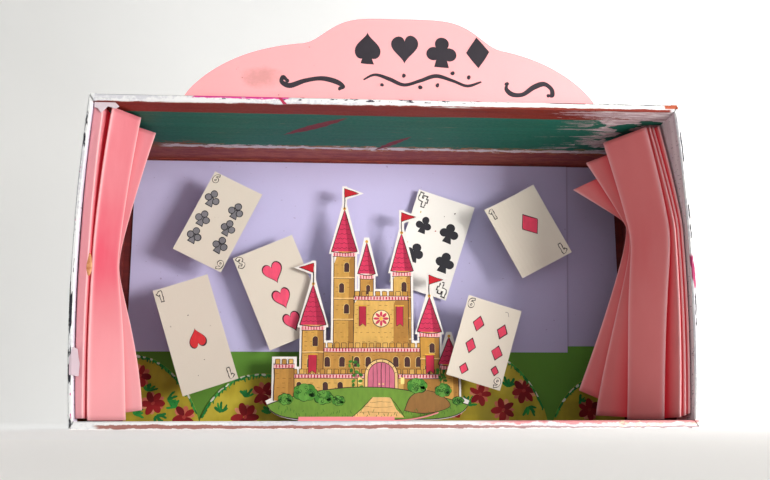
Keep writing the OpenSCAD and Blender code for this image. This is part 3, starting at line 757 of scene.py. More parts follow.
def fold_turn(a, p, b):
    """The paper's round turn at fold p between a and b on all rings: an arc about a centre on the
    bisector."""
    u, v = unit((a - p)[:, :2]), unit((b - p)[:, :2])
    half = np.arccos(np.clip((u * v).sum(-1), -1, 1)) / 2
    reach_a = np.linalg.norm((a - p)[:, :2], axis=-1)
    reach_b = np.linalg.norm((b - p)[:, :2], axis=-1)
    back = np.minimum(FOLD_R / np.tan(half), 0.45 * np.minimum(reach_a, reach_b))
    centre = p[:, :2] + unit(u + v) * (back / np.cos(half))[:, None]
    start = p[:, :2] + u * back[:, None] - centre
    sense = np.where(u[:, 0] * v[:, 1] - u[:, 1] * v[:, 0] < 0, 1.0, -1.0)
    share = np.linspace(0, 1, FOLD_POINTS)
    angle = (sense * (np.pi - 2 * half))[:, None] * share
    c, s = np.cos(angle), np.sin(angle)
    across, along = start[:, :1], start[:, 1:]
    flat = centre[:, None] + np.stack([c * across - s * along, s * across + c * along], -1)
    away = 1 - 2 * share
    toward_a = p[:, 2:] + (a - p)[:, 2:] * (back / reach_a)[:, None] * away
    toward_b = p[:, 2:] - (b - p)[:, 2:] * (back / reach_b)[:, None] * away
    z = np.where(away > 0, toward_a, toward_b)
    return np.concatenate([flat, z[..., None]], -1)


def pleat_path(folds):
    """The middle of the paper on every ring, straight panels between round turns, and along it how near a
    ridge, up to 1, or a valley, down to -1, each point is. A fold is a ridge where its reach less its depth
    is over the mean of its neighbours'."""
    p = fold_lines(folds)
    last = len(folds) - 1
    inner = [fold_turn(p[:, i - 1], p[:, i], p[:, i + 1]) for i in range(1, last)]
    turns = [p[:, :1], *inner, p[:, -1:]]
    score = p[..., 0] - p[..., 1]
    bend = np.zeros_like(score)
    bend[:, 1:-1] = score[:, 1:-1] - (score[:, :-2] + score[:, 2:]) / 2
    signs = np.sign(bend).mean(0)
    t = np.linspace(0, 1, PANEL_POINTS + 2)[1:-1]
    stretches, nearness = [], []
    for i, turn in enumerate(turns):
        stretches.append(turn)
        nearness.append(np.full(turn.shape[1], signs[i]))
        if i < last:
            start, end = turn[:, -1:], turns[i + 1][:, :1]
            stretches.append(start + (end - start) * t[None, :, None])
            width = np.abs(p[:, i + 1, 0] - p[:, i, 0]).mean()
            valley_fade = NARROW_VALLEY_FADE if width < NARROW_PLEAT else VALLEY_FADE
            fade = np.where(signs[i:i + 2] < 0, valley_fade, RIDGE_FADE)
            nearness.append(signs[i] * (1 - t) ** fade[0] + signs[i + 1] * t ** fade[1])
    return np.concatenate(stretches, 1), np.concatenate(nearness)


def curtain(name, folds, side, material):
    """One pleated sheet: its path moved half the paper's thickness to both faces and closed into a loop on
    each ring. Its attribute holds how near a ridge and a valley each point is."""
    path, near = pleat_path(folds)
    way = unit(np.gradient(path[..., :2], axis=1))
    normal = np.stack([-way[..., 1], way[..., 0], 0 * way[..., 0]], -1)
    faces = np.concatenate([path + normal * CURTAIN_T / 2, (path - normal * CURTAIN_T / 2)[:, ::-1]], 1)
    rows, cols = faces.shape[:2]
    reach, depth, z = np.moveaxis(faces, -1, 0)
    points = np.stack([side * (END_X + bow_at(z) - reach), FRONT_Y + depth, z], -1)
    a = np.arange(cols // 2 - 1)
    b = cols - 1 - a
    foot = np.stack([a, a + 1, b - 1, a, b - 1, b], -1).reshape(-1, 3)
    top = foot[:, ::-1] + (rows - 1) * cols
    triangles = np.vstack([cells(rows, cols, True)[:, ::-1], foot, top])
    if side < 0:
        triangles = triangles[:, ::-1]
    tone = np.concatenate([near, near[::-1]])
    colours = np.stack([np.clip(tone, 0, 1), np.clip(-tone, 0, 1), 0 * tone, 0 * tone + 1], -1)
    piece = make_piece(name, points.reshape(-1, 3), triangles, material,
                       np.tile(colours, (rows, 1)), "pleat", smooth=True)
    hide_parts(name.replace("pleated_", ""))


# Playing cards

CARD_T = 0.4
CARD_INK = "#3a3537"
CARD_PAPER = "#d6cfc2"
WHITE_PAPER = "#efeee9"
# Each card: across and up as shares of the stage, width, length, turn, stand-off and bend
CARDS = {
    "six_clubs": (-0.644, 0.728, 33, 55, -26, 16.5, 0.6),
    "three_hearts": (-0.391, 0.471, 39.5, 62, 23, 10, 0.4),
    "one_hearts": (-0.713, 0.306, 34, 66, 18, 20.5, 0.6),
    "four_clubs": (0.222, 0.665, 38, 64, -18, 3, 0.5),
    "one_diamonds": (0.597, 0.700, 36, 49, 28, 18.5, 2.4),
    "six_diamonds": (0.406, 0.280, 34, 50.5, -17, 22.5, 0.6),
}
# Ink round the red pips, and how much it takes off a heart's width and height and off a diamond's height
PIP_INK = "#4a2a30"
HEART_RIM = (1.4, 1.5)
DIAMOND_RIM = 1.8
PINK, RED, ROSE = "#dc4f6e", "#cc3237", "#d2405c"
# The pips: middle, then size or width and height where they vary
GREY_CLUBS = [(-10, 11.4), (-9.4, -2), (-8.8, -13.9), (7.1, 11), (7.4, -0.6), (8.1, -12.5)]
PINK_HEARTS = [((0.1, 12.7), 12.8, 14), ((-0.8, -4.4), 11.6, 13.6), ((-0.4, -20), 11, 12.6)]
BRUSHED_CLUBS = [((-9, 10.5), 10.2), ((8.4, 10.5), 12.2), ((-9.2, -8.2), 12), ((10.9, -8.7), 12.4)]
ROSE_DIAMONDS = [(-6.4, 10.1, 7.4, 10.4), (-7.4, -4.1, 7.4, 10), (-7.7, -18.7, 6.2, 8), (8.9, 9.5, 7.2, 10),
                 (9.2, -3.9, 7.8, 9.8), (10.9, -14.7, 5.4, 6.6)]
# Pencil and paint specks: place, size and colour
SPECKS = {
    "six_clubs": [(-3, 1.5, 0.6, "#b9b2a6"), (-1, 2.4, 0.5, "#c3bcb0")],
    "one_hearts": [(-1, 12.5, 0.9, "#5c5552"), (1, -16, 0.7, "#6b6360"), (-5, -24, 0.6, "#6b6360"),
                   (-12.6, 9, 1.2, "#b3aa9e"), (10, 2.5, 0.8, "#bdb4a8")],
    "four_clubs": [(-0.6, 9, 1.0, "#b44a48"), (-13.5, 18, 1.5, "#c9b77f"), (8, 24, 1.3, "#77736c"),
                   (-16, -4, 2.2, "#d3c79a"), (2, 20, 0.7, "#8f8a80")],
}
# Number in each card's corners, and its height
CORNER_NUMBERS = {
    "six_clubs": (6, 5.0), "three_hearts": (3, 6.0), "one_hearts": (1, 6.4),
    "four_clubs": (4, 8.4), "one_diamonds": (1, 6.6), "six_diamonds": (6, 5.4),
}
# Numerals as strokes in a box of height 1
NUMERALS = {
    1: [[(-0.2, 0.18), (0.08, 0.46), (0.08, -0.5)]],
    3: [[(-0.26, 0.36), (0.0, 0.5), (0.24, 0.28), (-0.02, 0.04), (0.28, -0.2), (0.02, -0.5),
         (-0.28, -0.36)]],
    4: [[(-0.22, 0.5), (-0.26, 0.02), (0.32, 0.0)], [(0.12, 0.32), (0.1, -0.5)]],
    6: [[(0.24, 0.44), (-0.12, 0.3), (-0.26, -0.12), (-0.12, -0.46), (0.16, -0.42), (0.24, -0.14),
         (0.02, 0.02), (-0.2, -0.14)]],
}


def card_face(at):
    """Places (u, v) of a card's own face: the edges bend to the front by the square of u, then the card
    turns about its middle and stands off the backdrop."""
    across, up, width, _, turn, standoff, bend = at
    middle = (across * STAGE_HALF, FLOOR_Z + up * STAGE_H)

    def place(u, v, h):
        x, z = np.moveaxis(turned_about(middle, u, v, turn), -1, 0)
        y = SKY_Y - standoff - CARD_T - bend * (2 * u / width) ** 2 - h
        return np.stack([x, y, z], -1)

    return place


def draw_numeral(drawing, number, middle, height, turned, paper):
    """An outlined numeral: each stroke in ink, then narrower in the card's own colour."""
    sign = -1 if turned else 1
    paths = []
    for stroke in NUMERALS[number]:
        points = np.array(middle) + sign * height * np.array(stroke)
        paths.append(curve(points, 22) if len(stroke) > 3 else straight(points, 14))
    ends = 0.09 * height
    for path in paths:
        before = path[0] - unit(path[1] - path[0]) * ends
        after = path[-1] + unit(path[-1] - path[-2]) * ends
        drawing.line(np.vstack([before, path, after]), 0.34 * height, CARD_INK, 0.05)
    for path in paths:
        drawing.line(path, 0.19 * height, paper, 0.03)


def draw_club(drawing, middle, size, fill, edge, rim):
    """A flared stem and three lobes, each in the edge colour and then, smaller by the rim, in the fill
    colour."""
    moves = hand.uniform(-0.04, 0.04, (3, 2))
    lobes = np.array([(-0.26, -0.05), (0.27, -0.06), (0.0, 0.28)]) + moves
    stem = polygon(np.array([(-0.06, 0.1), (0.07, 0.1), (0.25, -0.56), (-0.26, -0.53)]), 24)
    for outline in [stem, *(oval(lobe, 0.47, 0.47) for lobe in lobes)]:
        shape = np.array(middle) + size * outline
        drawing.fill(shape, edge, 0.06)
        if rim:
            inner = shape.mean(0) + (shape - shape.mean(0)) * (1 - 2 * rim / (0.47 * size))
            drawing.fill(inner, fill, 0.06)


def draw_heart(drawing, middle, width, height, fill, turn=0.0):
    """A heart in pen colour inside an ink outline that doesn't quite follow it."""
    drawing.fill(heart(middle, width, height, turn), PIP_INK, 0.15)
    drawing.fill(heart(middle, width - HEART_RIM[0], height - HEART_RIM[1], turn), fill, 0.14)


def draw_diamond(drawing, middle, width, height, fill, lean):
    """A diamond in pen colour inside an ink outline; lean moves its top across and its right corner up."""
    top, right = np.array((lean[0], height / 2)), np.array((width / 2, lean[1]))
    corners = np.array([top, right, -top, -right])
    drawing.fill(middle + polygon(corners), PIP_INK, 0.1)
    drawing.fill(middle + polygon(corners * (1 - DIAMOND_RIM / height)), fill, 0.12)


def draw_specks(drawing, spots):
    """Pencil and paint specks: small ovals of chance turn."""
    for u, v, size, colour in drawing.side_by_side(spots):
        drawing.fill(oval((u, v), size, size * 0.7, hand.uniform(0, 180), 10), colour, 0.04, 1)


def draw_cards(material):
    """Each card's pips and specks, then a numeral in two of its corners, as one piece for each card."""
    faces = {name: Drawing(card_face(at), 0.014) for name, at in CARDS.items()}
    six_clubs, three_hearts, one_hearts, four_clubs, one_diamonds, six_diamonds = faces.values()

    for middle in six_clubs.side_by_side(GREY_CLUBS):
        draw_club(six_clubs, middle, 9.8, "#77777d", "#2b2b30", 0.5)
    draw_specks(six_clubs, SPECKS["six_clubs"])
    for middle, width, height in three_hearts.side_by_side(PINK_HEARTS):
        draw_heart(three_hearts, middle, width, height, PINK)
    draw_heart(one_hearts, (0.4, -2), 10.6, 12.4, RED, 180.0)
    draw_specks(one_hearts, SPECKS["one_hearts"])
    for middle, size in four_clubs.side_by_side(BRUSHED_CLUBS):
        draw_club(four_clubs, middle, size, "#2f2f35", "#2f2f35", 0.0)
    draw_specks(four_clubs, SPECKS["four_clubs"])
    draw_diamond(one_diamonds, np.array((4.0, 3.5)), 12.4, 15.6, ROSE, (-1.2, 0.6))
    for u, v, width, height in six_diamonds.side_by_side(ROSE_DIAMONDS):
        draw_diamond(six_diamonds, np.array((u, v)), width, height, ROSE, hand.uniform(-0.5, 0.5, 2))
    six_diamonds.line(curve([(7.6, 21.8), (9.4, 21.6), (10.4, 19.6)], 10), 0.25, "#77706b")

    for name, (number, height) in CORNER_NUMBERS.items():
        width, length = CARDS[name][2:4]
        u, v = width / 2 - 0.55 * height, length / 2 - 0.72 * height
        paper = WHITE_PAPER if name == "four_clubs" else CARD_PAPER
        draw_numeral(faces[name], number, (-u, v), height, False, paper)
        draw_numeral(faces[name], number, (u, -v), height, True, paper)
    for name, drawing in faces.items():
        drawing.made("drawn_" + name, material, "playing_card")


# Bushes

BUSH_ARCH = (2.3, 1.3)
# Gaps between the bushes on the left and the right, and how far the last one's middle is from the wall
LEFT_GAP, RIGHT_GAP = 0.5, 3.8
LAST_INSET = 7.8
# How far the painted films stay inside a bush's ends
FILM_INSET = 0.6
# Each bush: middle, half width and height above the floor
BUSHES = {
    "bush_far_left": (-STAGE_HALF, 46, 41),
    "bush_left": (-STAGE_HALF + 46 + LEFT_GAP + 37, 37, 29),
    "bush_right": (STAGE_HALF - LAST_INSET - 38 - RIGHT_GAP - 44, 44, 43),
    "bush_far_right": (STAGE_HALF - LAST_INSET, 38, 29),
}
# Flowers as x, z and size, and clusters of leaves as x, z and turn
FLOWERS = {
    "bush_far_left": [(-146.7, 31.6, 7), (-138.1, 14.9, 7.4), (-119, 6.5, 7.2)],
    "bush_left": [(-81.9, 6.5, 8.4), (-70.7, 21, 7.6), (-52, 11, 6.5)],
    "bush_right": [(64.1, 20.3, 7), (78.5, 10.5, 7.6), (91.9, 22.5, 7.8), (47, 12, 7), (60, 34, 5.5)],
    "bush_far_right": [(133.3, 10.5, 7), (150, 21, 6)],
}
LEAVES = {
    "bush_far_left": [(-142.1, 22.5, 60), (-129.4, 17, -10), (-135.7, 7.4, -40), (-124, 12.5, 120),
                      (-149.2, 8.2, 30)],
    "bush_left": [(-96.7, 9.5, 80), (-82, 18.5, 75), (-67.7, 8.5, 100), (-58, 22, 60)],
    "bush_right": [(81.9, 25, 80), (56.3, 13.5, 60), (94.7, 12.5, -70), (70, 30, 100), (40, 22, 90)],
    "bush_far_right": [(127.2, 14, 30), (143, 9, 110)],
}
LEAF_GREENS = ["#1f8038", "#2b8c3a", "#1c7034"]
EDGE_GREENS = ["#1f7a38", "#2c8a3a", "#1d6a33", "#459a42"]
RED_PETALS = ["#7d1219", "#8b1a1f", "#931f22", "#70101a"]
PALE_PETALS = ["#c9705c", "#bf6650", "#d08a6a"]


def bush_top(shape, x):
    """Height of the bush's arch above the floor: its full height times 1 less u to the first power of the
    arch, all to 1 over the second."""
    u = np.clip(np.abs((x - shape[0]) / shape[1]), 0, 1)
    return shape[2] * (1 - u ** BUSH_ARCH[0]) ** (1 / BUSH_ARCH[1])


def bush_face(shape):
    """Places (x, z) on a bush's front, kept inside its arch, the floor and the side walls."""
    middle, half, _ = shape
    low = max(middle - half, -STAGE_HALF) + FILM_INSET
    high = min(middle + half, STAGE_HALF) - FILM_INSET

    def place(u, v, h):
        x = np.clip(u, low, high)
        z = np.clip(v, FLOOR_Z + 0.1, FLOOR_Z + np.maximum(bush_top(shape, x) - 0.15, 0.1))
        return np.stack([x, BUSH_Y - h, z], -1)

    return place


def draw_bush(name, material):
    """Leaves like spread fingers, flowers of fat petals over paler ones, then along the arch a green edge
    with short strokes hanging from it and white flecks."""
    shape = BUSHES[name]
    drawing = Drawing(bush_face(shape))
    for x, z, turn in drawing.side_by_side(LEAVES[name]):
        root = np.array([x, z])
        for spread in (-52, -24, 4, 30, 56):
            tip = root + toward(turn + spread + hand.uniform(-8, 8)) * hand.uniform(4.4, 7.0)
            bow = (root + tip) / 2 + hand.uniform(-0.5, 0.5, 2)
            width = hand.uniform(1.3, 2.0)
            drawing.line(curve([root, bow, tip], 8), width, hand.choice(LEAF_GREENS), 0.1, 0.5)
    for x, z, size in drawing.side_by_side(FLOWERS[name]):
        draw_flower(drawing, (x, z), size)

    low = max(shape[0] - shape[1], -STAGE_HALF) + 0.8
    high = min(shape[0] + shape[1], STAGE_HALF) - 0.8
    for x in drawing.side_by_side(np.arange(low, high - 3, 2.8), 4):
        reach = np.linspace(x, x + hand.uniform(3.0, 4.6), 8)
        under = hand.uniform(0.7, 1.3)
        path = np.stack([reach, FLOOR_Z + bush_top(shape, reach) - under], -1)
        drawing.line(path, hand.uniform(1.6, 2.6), hand.choice(EDGE_GREENS), 0.12, 0.3)
    for x in drawing.side_by_side(np.arange(low + 1, high - 1, 1.9), 3):
        top = FLOOR_Z + bush_top(shape, x) - 0.8
        lean = hand.uniform(-0.9, 0.9)
        stroke = straight([(x, top), (x + lean, top - hand.uniform(1.6, 3.4))], 5)
        drawing.line(stroke, hand.uniform(0.7, 1.1), hand.choice(EDGE_GREENS), 0.06, 0.6)
    for x in drawing.side_by_side(np.arange(low + 1, high - 4, 4.4), 2):
        if hand.uniform() < 0.7:
            reach = np.linspace(x, x + hand.uniform(1.2, 3.6), 6)
            path = np.stack([reach, FLOOR_Z + bush_top(shape, reach) - hand.uniform(0.4, 1.2)], -1)
            drawing.line(path, hand.uniform(0.8, 1.7), "#cfd3c2", 0.15, 0.5)
    drawing.made("painted_" + name, material, "bush_card")


def draw_flower(drawing, middle, size):
    """Pale petals peeping out between dark red ones, round a small centre."""
    count = int(hand.integers(5, 7))
    start = hand.uniform(0, 72)
    for shift, length, width, colours in ((32, 0.8, 0.44, PALE_PETALS), (0, 0.96, 0.54, RED_PETALS)):
        for k in range(count):
            angle = start + shift + 360 / count * k + hand.uniform(-9, 9)
            reach = size * hand.uniform(0.5, 0.6)
            petal = oval(np.array(middle) + reach * toward(angle), size * length, size * width, angle, 20)
            drawing.fill(petal, hand.choice(colours), 0.22, 2)
    drawing.fill(oval(middle, 2.3, 2.0, 30, 12), "#a33a34", 0.12, 2)


# Castle

CASTLE_X = -7.0
EAVES = 1.6
MERLON_H = 3.0
HILL_HALF_W = 62.0
HILL_WAIST_H = 12.0
CUT_MARGIN = 1.5
# Height of the pole, reach and depth of the cloth
PENNANT = (12.0, 9.0, 6.0)
# Each tower: offset, width, wall height, roof height, pennant side; the keep is first
TOWERS = [
    (8, 34, 76, 0, 0), (-15, 13, 104, 27, 1), (-1, 8, 90, 20, 0), (21, 11, 92, 24, 1),
    (-34, 13, 58, 25, -1), (38, 12, 54, 22, 1), (-51, 12, 34, 0, 0), (50, 11, 34, 17, 0),
]
KEEP_X = TOWERS[0][0]
# Each wall: left end, right end and height
WALLS = [(-34, 38, 44), (-51, 50, 28)]
INK = "#3b2a26"
STONE = ["#c79a4d", "#b98a44", "#d0a85c", "#bf8f3f"]
ROOF = "#c8365a"
ROOF_SHADE = "#a32746"
STRING_COURSE = "#e9b6b6"
BANNER_RED = "#b52a44"
SHRUB_GREENS = ["#4f8f34", "#3f7f30", "#62a043"]
IVY_GREENS = ["#3f7f30", "#4f8f34", "#2f6d2b"]
SHRUBS = [(-38, 17, 13), (-27, 14, 10), (-50, 13, 8), (30, 21, 11), (46, 18, 9), (-18, 12, 7), (55, 12, 6)]


def castle_face(u, v, h):
    """Places (u, v) from the castle's middle and the floor on its front."""
    return np.stack([CASTLE_X + u, CASTLE_Y - h, FLOOR_Z + v], -1)


def ink_path(drawing, points, width=0.45, shake=0.12):
    """A pen line along straight spans."""
    drawing.line(straight(points, max(6, 5 * len(points))), width, INK, shake)


def stone_wall(drawing, low, high, colour):
    """A washed stone face with ink sides, a shaded right edge and rows of brick dashes."""
    drawing.box(low, high, colour, 0.15)
    shade = low[0] + (high[0] - low[0]) * 0.72
    drawing.box((shade, low[1]), (high[0], high[1]), "#a5783a", 0.2)
    for side in drawing.side_by_side((low[0], high[0])):
        ink_path(drawing, [(side, low[1]), (side, high[1])])
    rows = np.arange(low[1] + 2.2, high[1] - 2, 2.8)
    starts = [(left, row) for row in rows
              for left in np.arange(low[0] + hand.uniform(0.6, 2.2), high[0] - 1.8, 3.6)]
    for left, row in drawing.side_by_side(starts):
        if hand.uniform() < 0.55:
            dash = [(left, row), (left + hand.uniform(1.0, 1.9), row)]
            drawing.line(straight(dash, 4), 0.24, "#7c5527", 0.06)


def arched_window(drawing, middle, width, height):
    """A dark opening with a round head in a pale surround."""
    u, v = middle
    for grow, colour in ((0.55, "#e2c485"), (0.3, INK), (0.0, "#4a2f2e")):
        t = np.linspace(0, np.pi, 12)
        half = width / 2 + grow
        arch = np.stack([u + half * np.cos(t), v + height / 2 - width / 2 + half * np.sin(t)], -1)
        foot = np.array([(u - half, v - height / 2 - grow), (u + half, v - height / 2 - grow)])
        drawing.fill(polygon(np.vstack([arch, foot]), 26), colour, 0.05, 2)


def battlements(drawing, left, right, top):
    """Square merlons along a wall's top, each with an ink outline, over a pale string course."""
    count = max(3, int((right - left) / 4.2))
    pitch = (right - left) / count
    for k in drawing.side_by_side(range(count)):
        a = left + pitch * (k + 0.16)
        b = left + pitch * (k + 0.84)
        drawing.box((a, top - 0.4), (b, top + MERLON_H), STONE[k % 4], 0.08)
        ink_path(drawing, [(a, top), (a, top + MERLON_H), (b, top + MERLON_H), (b, top)], 0.32, 0.05)
    drawing.box((left - 0.4, top - 2.6), (right + 0.4, top), STRING_COURSE, 0.08)
    for level in drawing.side_by_side((top, top - 2.6)):
        ink_path(drawing, [(left - 0.4, level), (right + 0.4, level)], 0.4)
    for tick in drawing.side_by_side(np.arange(left + 0.8, right - 0.4, 1.9)):
        drawing.box((tick, top - 2.2), (tick + 0.85, top - 0.4), "#b02f4c", 0.05)


def cone_roof(drawing, tower):
    """A steep roof with a darker right side, rows of tile scallops, a ball and sometimes a pennant."""
    offset, width, wall, roof, flag = tower
    half = width / 2 + EAVES
    tip = (offset, wall + roof)
    left, right = (offset - half, wall), (offset + half, wall)
    drawing.fill(polygon(np.array([left, right, tip])), ROOF, 0.12)
    drawing.fill(polygon(np.array([(offset + half * 0.3, wall), right, tip])), ROOF_SHADE, 0.12)
    for height in drawing.side_by_side(np.arange(2.6, roof - 4, 3.0)):
        reach = half * (1 - height / roof) - 0.3
        count = max(1, int(2 * reach / 2.6))
        u = np.linspace(-reach, reach, 6 * count + 1)
        sag = 0.75 * np.abs(np.sin(np.pi * count * (u / reach + 1) / 2))
        drawing.line(np.stack([offset + u, wall + height - sag], -1), 0.26, "#6d1730", 0.06)
    ink_path(drawing, [left, tip, right], 0.5)
    drawing.line(curve([left, (offset, wall - 1.1), right], 12), 0.5, INK)
    drawing.fill(oval((offset, wall + roof + 0.4), 1.9, 1.9, 0, 14), "#d9a441", 0.05)
    if flag:
        top = wall + roof + CUT_MARGIN + PENNANT[0]
        ink_path(drawing, [(offset, wall + roof), (offset, top)], 0.55)
        reach = offset + flag * PENNANT[1]
        cloth = np.array([(offset, top), (offset, top - PENNANT[2]), (reach, top - PENNANT[2] / 2)])
        drawing.fill(polygon(cloth), "#b81f2c", 0.1)
        ink_path(drawing, [cloth[0], cloth[2], cloth[1]], 0.35)


def tower_front(drawing, tower, colour, windows=3):
    """A tower's wall, its windows, string courses and its roof or battlements."""
    offset, width, wall, roof, _ = tower
    left, right = offset - width / 2, offset + width / 2
    stone_wall(drawing, (left, HILL_WAIST_H), (right, wall), colour)
    slit = min(2.6, width * 0.24)
    heights = np.arange(wall - 10, max(wall - 40, 26), -13)[:windows]
    for k, height in drawing.side_by_side(enumerate(heights)):
        arched_window(drawing, (offset + (-1) ** k * width * 0.12, height), slit, 5.4)
    for course in drawing.side_by_side(heights - 6.6):
        drawing.line(straight([(left, course), (right, course)], 8), 0.9, "#dcb878", 0.08)
        ink_path(drawing, [(left, course - 0.55), (right, course - 0.55)], 0.26)
    if roof:
        drawing.box((left - 0.5, wall - 3.4), (right + 0.5, wall - 0.6), STRING_COURSE, 0.08)
        for tick in drawing.side_by_side(np.arange(left, right - 0.4, 1.7)):
            drawing.box((tick, wall - 3.0), (tick + 0.7, wall - 1.0), "#c24a62", 0.05)
        ink_path(drawing, [(left - 0.5, wall - 3.4), (right + 0.5, wall - 3.4)], 0.4)
        cone_roof(drawing, tower)
    else:
        battlements(drawing, left, right, wall)


def hill_foot(u):
    """Lower edge of the hill: its waist's height times (1 - the root of 1 - u to the 6)."""
    return HILL_WAIST_H * (1 - np.sqrt(np.maximum(0, 1 - np.abs(u) ** 6)))


def draw_hill(drawing):
    """Grass inside the cut edge, an earth bank, a path that widens to the foot, and scribbled shrubs."""
    u = np.linspace(-0.985, 0.985, 48)
    foot = hill_foot(u) + 0.7
    crown = HILL_WAIST_H - 3.0 + 11.0 * (1 - np.abs(u) ** 2.2)
    half = HILL_HALF_W
    outline = np.vstack([np.stack([u * half, foot], -1), np.stack([u[::-1] * half, crown[::-1]], -1)])
    drawing.fill(outline, "#6f9a3c", 0.15, 4)
    drawing.line(np.stack([u * half, crown], -1), 0.5, INK, 0.3)
    drawing.line(np.stack([u * half, foot], -1), 0.5, INK, 0.1)
    bank = curve([(22, 6), (26, 14), (34, 18), (44, 16), (50, 9), (40, 5), (30, 4.6), (22, 6)], 40)[:-1]
    drawing.fill(bank, "#8f6a3c", 0.2)
    drawing.line(np.vstack([bank, bank[:1]]), 0.4, INK, 0.2)
    path = np.array([(2.5, 14), (13.5, 14), (17, 7), (22, 2.2), (-10, 2.2), (-3, 7)])
    drawing.fill(polygon(path, 40), "#d9b678", 0.2)
    for a, b in drawing.side_by_side((((2.5, 14), (-10, 2.2)), ((13.5, 14), (22, 2.2)))):
        drawing.line(curve([a, ((a[0] + b[0]) / 2 + 0.6, 8), b], 12), 0.4, INK)
    for row, left, right in drawing.side_by_side(((5, -6, 18), (8.2, -2, 15), (11.2, 1, 13.6))):
        drawing.line(straight([(left, row), (right, row)], 10), 0.22, "#8a6534", 0.25)
    for a, b, size in drawing.side_by_side(SHRUBS, 2):
        draw_shrub(drawing, (a, b), size)
    for blade in drawing.side_by_side(np.linspace(-54, 54, 60)):
        base = hill_foot(blade / half) + hand.uniform(1.2, 5.5)
        tip = (blade + hand.uniform(-1.0, 1.0), base + hand.uniform(1.2, 2.4))
        drawing.line(straight([(blade, base), tip], 4), 0.3, "#3f6d2a", 0.05)


def draw_shrub(drawing, middle, size):
    """A leafy clump: overlapping green rounds inside an ink edge, then curled pen marks."""
    angles = np.linspace(0, 2 * np.pi, 7, endpoint=False)
    spots = np.array(middle) + size * np.stack([0.32 * np.cos(angles), 0.2 * np.sin(angles)], -1)
    for spot in drawing.side_by_side(spots, 3):
        drawing.fill(oval(spot, size * 0.5 + 0.6, size * 0.42 + 0.6, 0, 18), "#24411f", 0.15, 1)
    for k, spot in drawing.side_by_side(enumerate(spots), 3):
        drawing.fill(oval(spot, size * 0.5, size * 0.42, 0, 18), SHRUB_GREENS[k % 3], 0.15, 1)
    for _ in drawing.side_by_side(range(14), 2):
        spot = np.array(middle) + hand.uniform(-0.42, 0.42, 2) * np.array([size, size * 0.72])
        t = np.linspace(0, 1.5 * np.pi, 8) + hand.uniform(0, 6)
        drawing.line(spot + 0.75 * np.stack([np.cos(t), np.sin(t)], -1), 0.28, "#1c441c", 0.05)


def draw_gate(drawing):
    """A round-arched gate in a ring of stones, with plank doors and a lamp on each side."""
    middle, half, foot, spring = KEEP_X, 8.0, 13.5, 27.0
    t = np.linspace(0, np.pi, 16)
    for grow, colour in ((2.4, INK), (2.0, "#e1c083"), (0.45, INK), (0.0, "#c96f88")):
        arch = np.stack([middle + (half + grow) * np.cos(t), spring + (half + grow) * np.sin(t)], -1)
        base = np.array([(middle - half - grow, foot), (middle + half + grow, foot)])
        drawing.fill(polygon(np.vstack([arch, base]), 44), colour, 0.08)
    for angle in drawing.side_by_side(np.radians(np.arange(12, 180, 24))):
        ring = [(middle + r * np.cos(angle), spring + r * np.sin(angle)) for r in (half + 0.4, half + 2.0)]
        drawing.line(straight(ring, 4), 0.3, INK, 0.03)
    for plank in drawing.side_by_side((-5, -2.5, 2.5, 5)):
        top = spring + np.sqrt(half ** 2 - plank ** 2) - 0.4
        ink_path(drawing, [(middle + plank, foot), (middle + plank, top)], 0.28)
    ink_path(drawing, [(middle, foot), (middle, spring + half - 0.2)], 0.5)
    for side in drawing.side_by_side((-1, 1)):
        drawing.fill(oval((middle + side * 1.2, spring - 5), 1.0, 1.0, 0, 12), "#e8d27a", 0.03)
        drawing.box((middle + side * 13 - 1.1, 22), (middle + side * 13 + 1.1, 26), "#f1dd8a", 0.05)
        ink_path(drawing, [(middle + side * 13, 26), (middle + side * 13, 28)], 0.5)


def draw_banner(drawing, middle, top, width, length, colour):
    """A hanging cloth with a forked foot, a gold bar at its head and an ink edge."""
    left, right = middle - width / 2, middle + width / 2
    foot = top - length
    fork = foot + width * 0.45
    cloth = np.array([(left, top), (left, foot), (middle, fork), (right, foot), (right, top)])
    drawing.fill(polygon(cloth, 30), colour, 0.06, 2)
    ink_path(drawing, [*cloth, cloth[0]], 0.3, 0.06)
    drawing.line(straight([(left - 0.6, top), (right + 0.6, top)], 6), 0.8, "#d8a944", 0.05)


def draw_rose_window(drawing, middle):
    """A round window: eight petals of glass about a gold centre in an ink ring."""
    drawing.fill(oval(middle, 11, 11, 0, 40), INK, 0.08)
    drawing.fill(oval(middle, 10, 10, 0, 40), "#f0d9b0", 0.08)
    for angle in drawing.side_by_side(np.arange(0, 360, 45.0)):
        spot = np.array(middle) + 2.9 * toward(angle)
        drawing.fill(oval(spot, 3.6, 1.7, angle, 16), "#c23b58", 0.06, 2)
    drawing.fill(oval(middle, 2.2, 2.2, 0, 14), "#e0b548", 0.05, 2)


def draw_ivy(drawing, foot, height, spread):
    """A climbing stem with leaf dabs to both sides."""
    up = np.linspace(0, 1, 9)
    stem = np.stack([foot[0] + spread * np.sin(5 * up) * 0.5, foot[1] + height * up], -1)
    drawing.line(curve(stem, 24), 0.45, "#2c5424", 0.1)
    for k in drawing.side_by_side(range(16), 2):
        spot = stem[k // 2] + np.array([(-1) ** k * spread * hand.uniform(0.3, 0.9), hand.uniform(-1, 1)])
        leaf = oval(spot, 2.6, 1.8, hand.uniform(0, 180), 12)
        drawing.fill(leaf, IVY_GREENS[k % 3], 0.12, 1)


def wall_front(drawing, wall, stone, windows, height, width, length):
    """A battlemented wall with a row of windows at one height."""
    left, right, top = wall
    stone_wall(drawing, (left, HILL_WAIST_H), (right, top), stone)
    battlements(drawing, left, right, top)
    for spot in drawing.side_by_side(windows):
        arched_window(drawing, (spot, height), width, length)


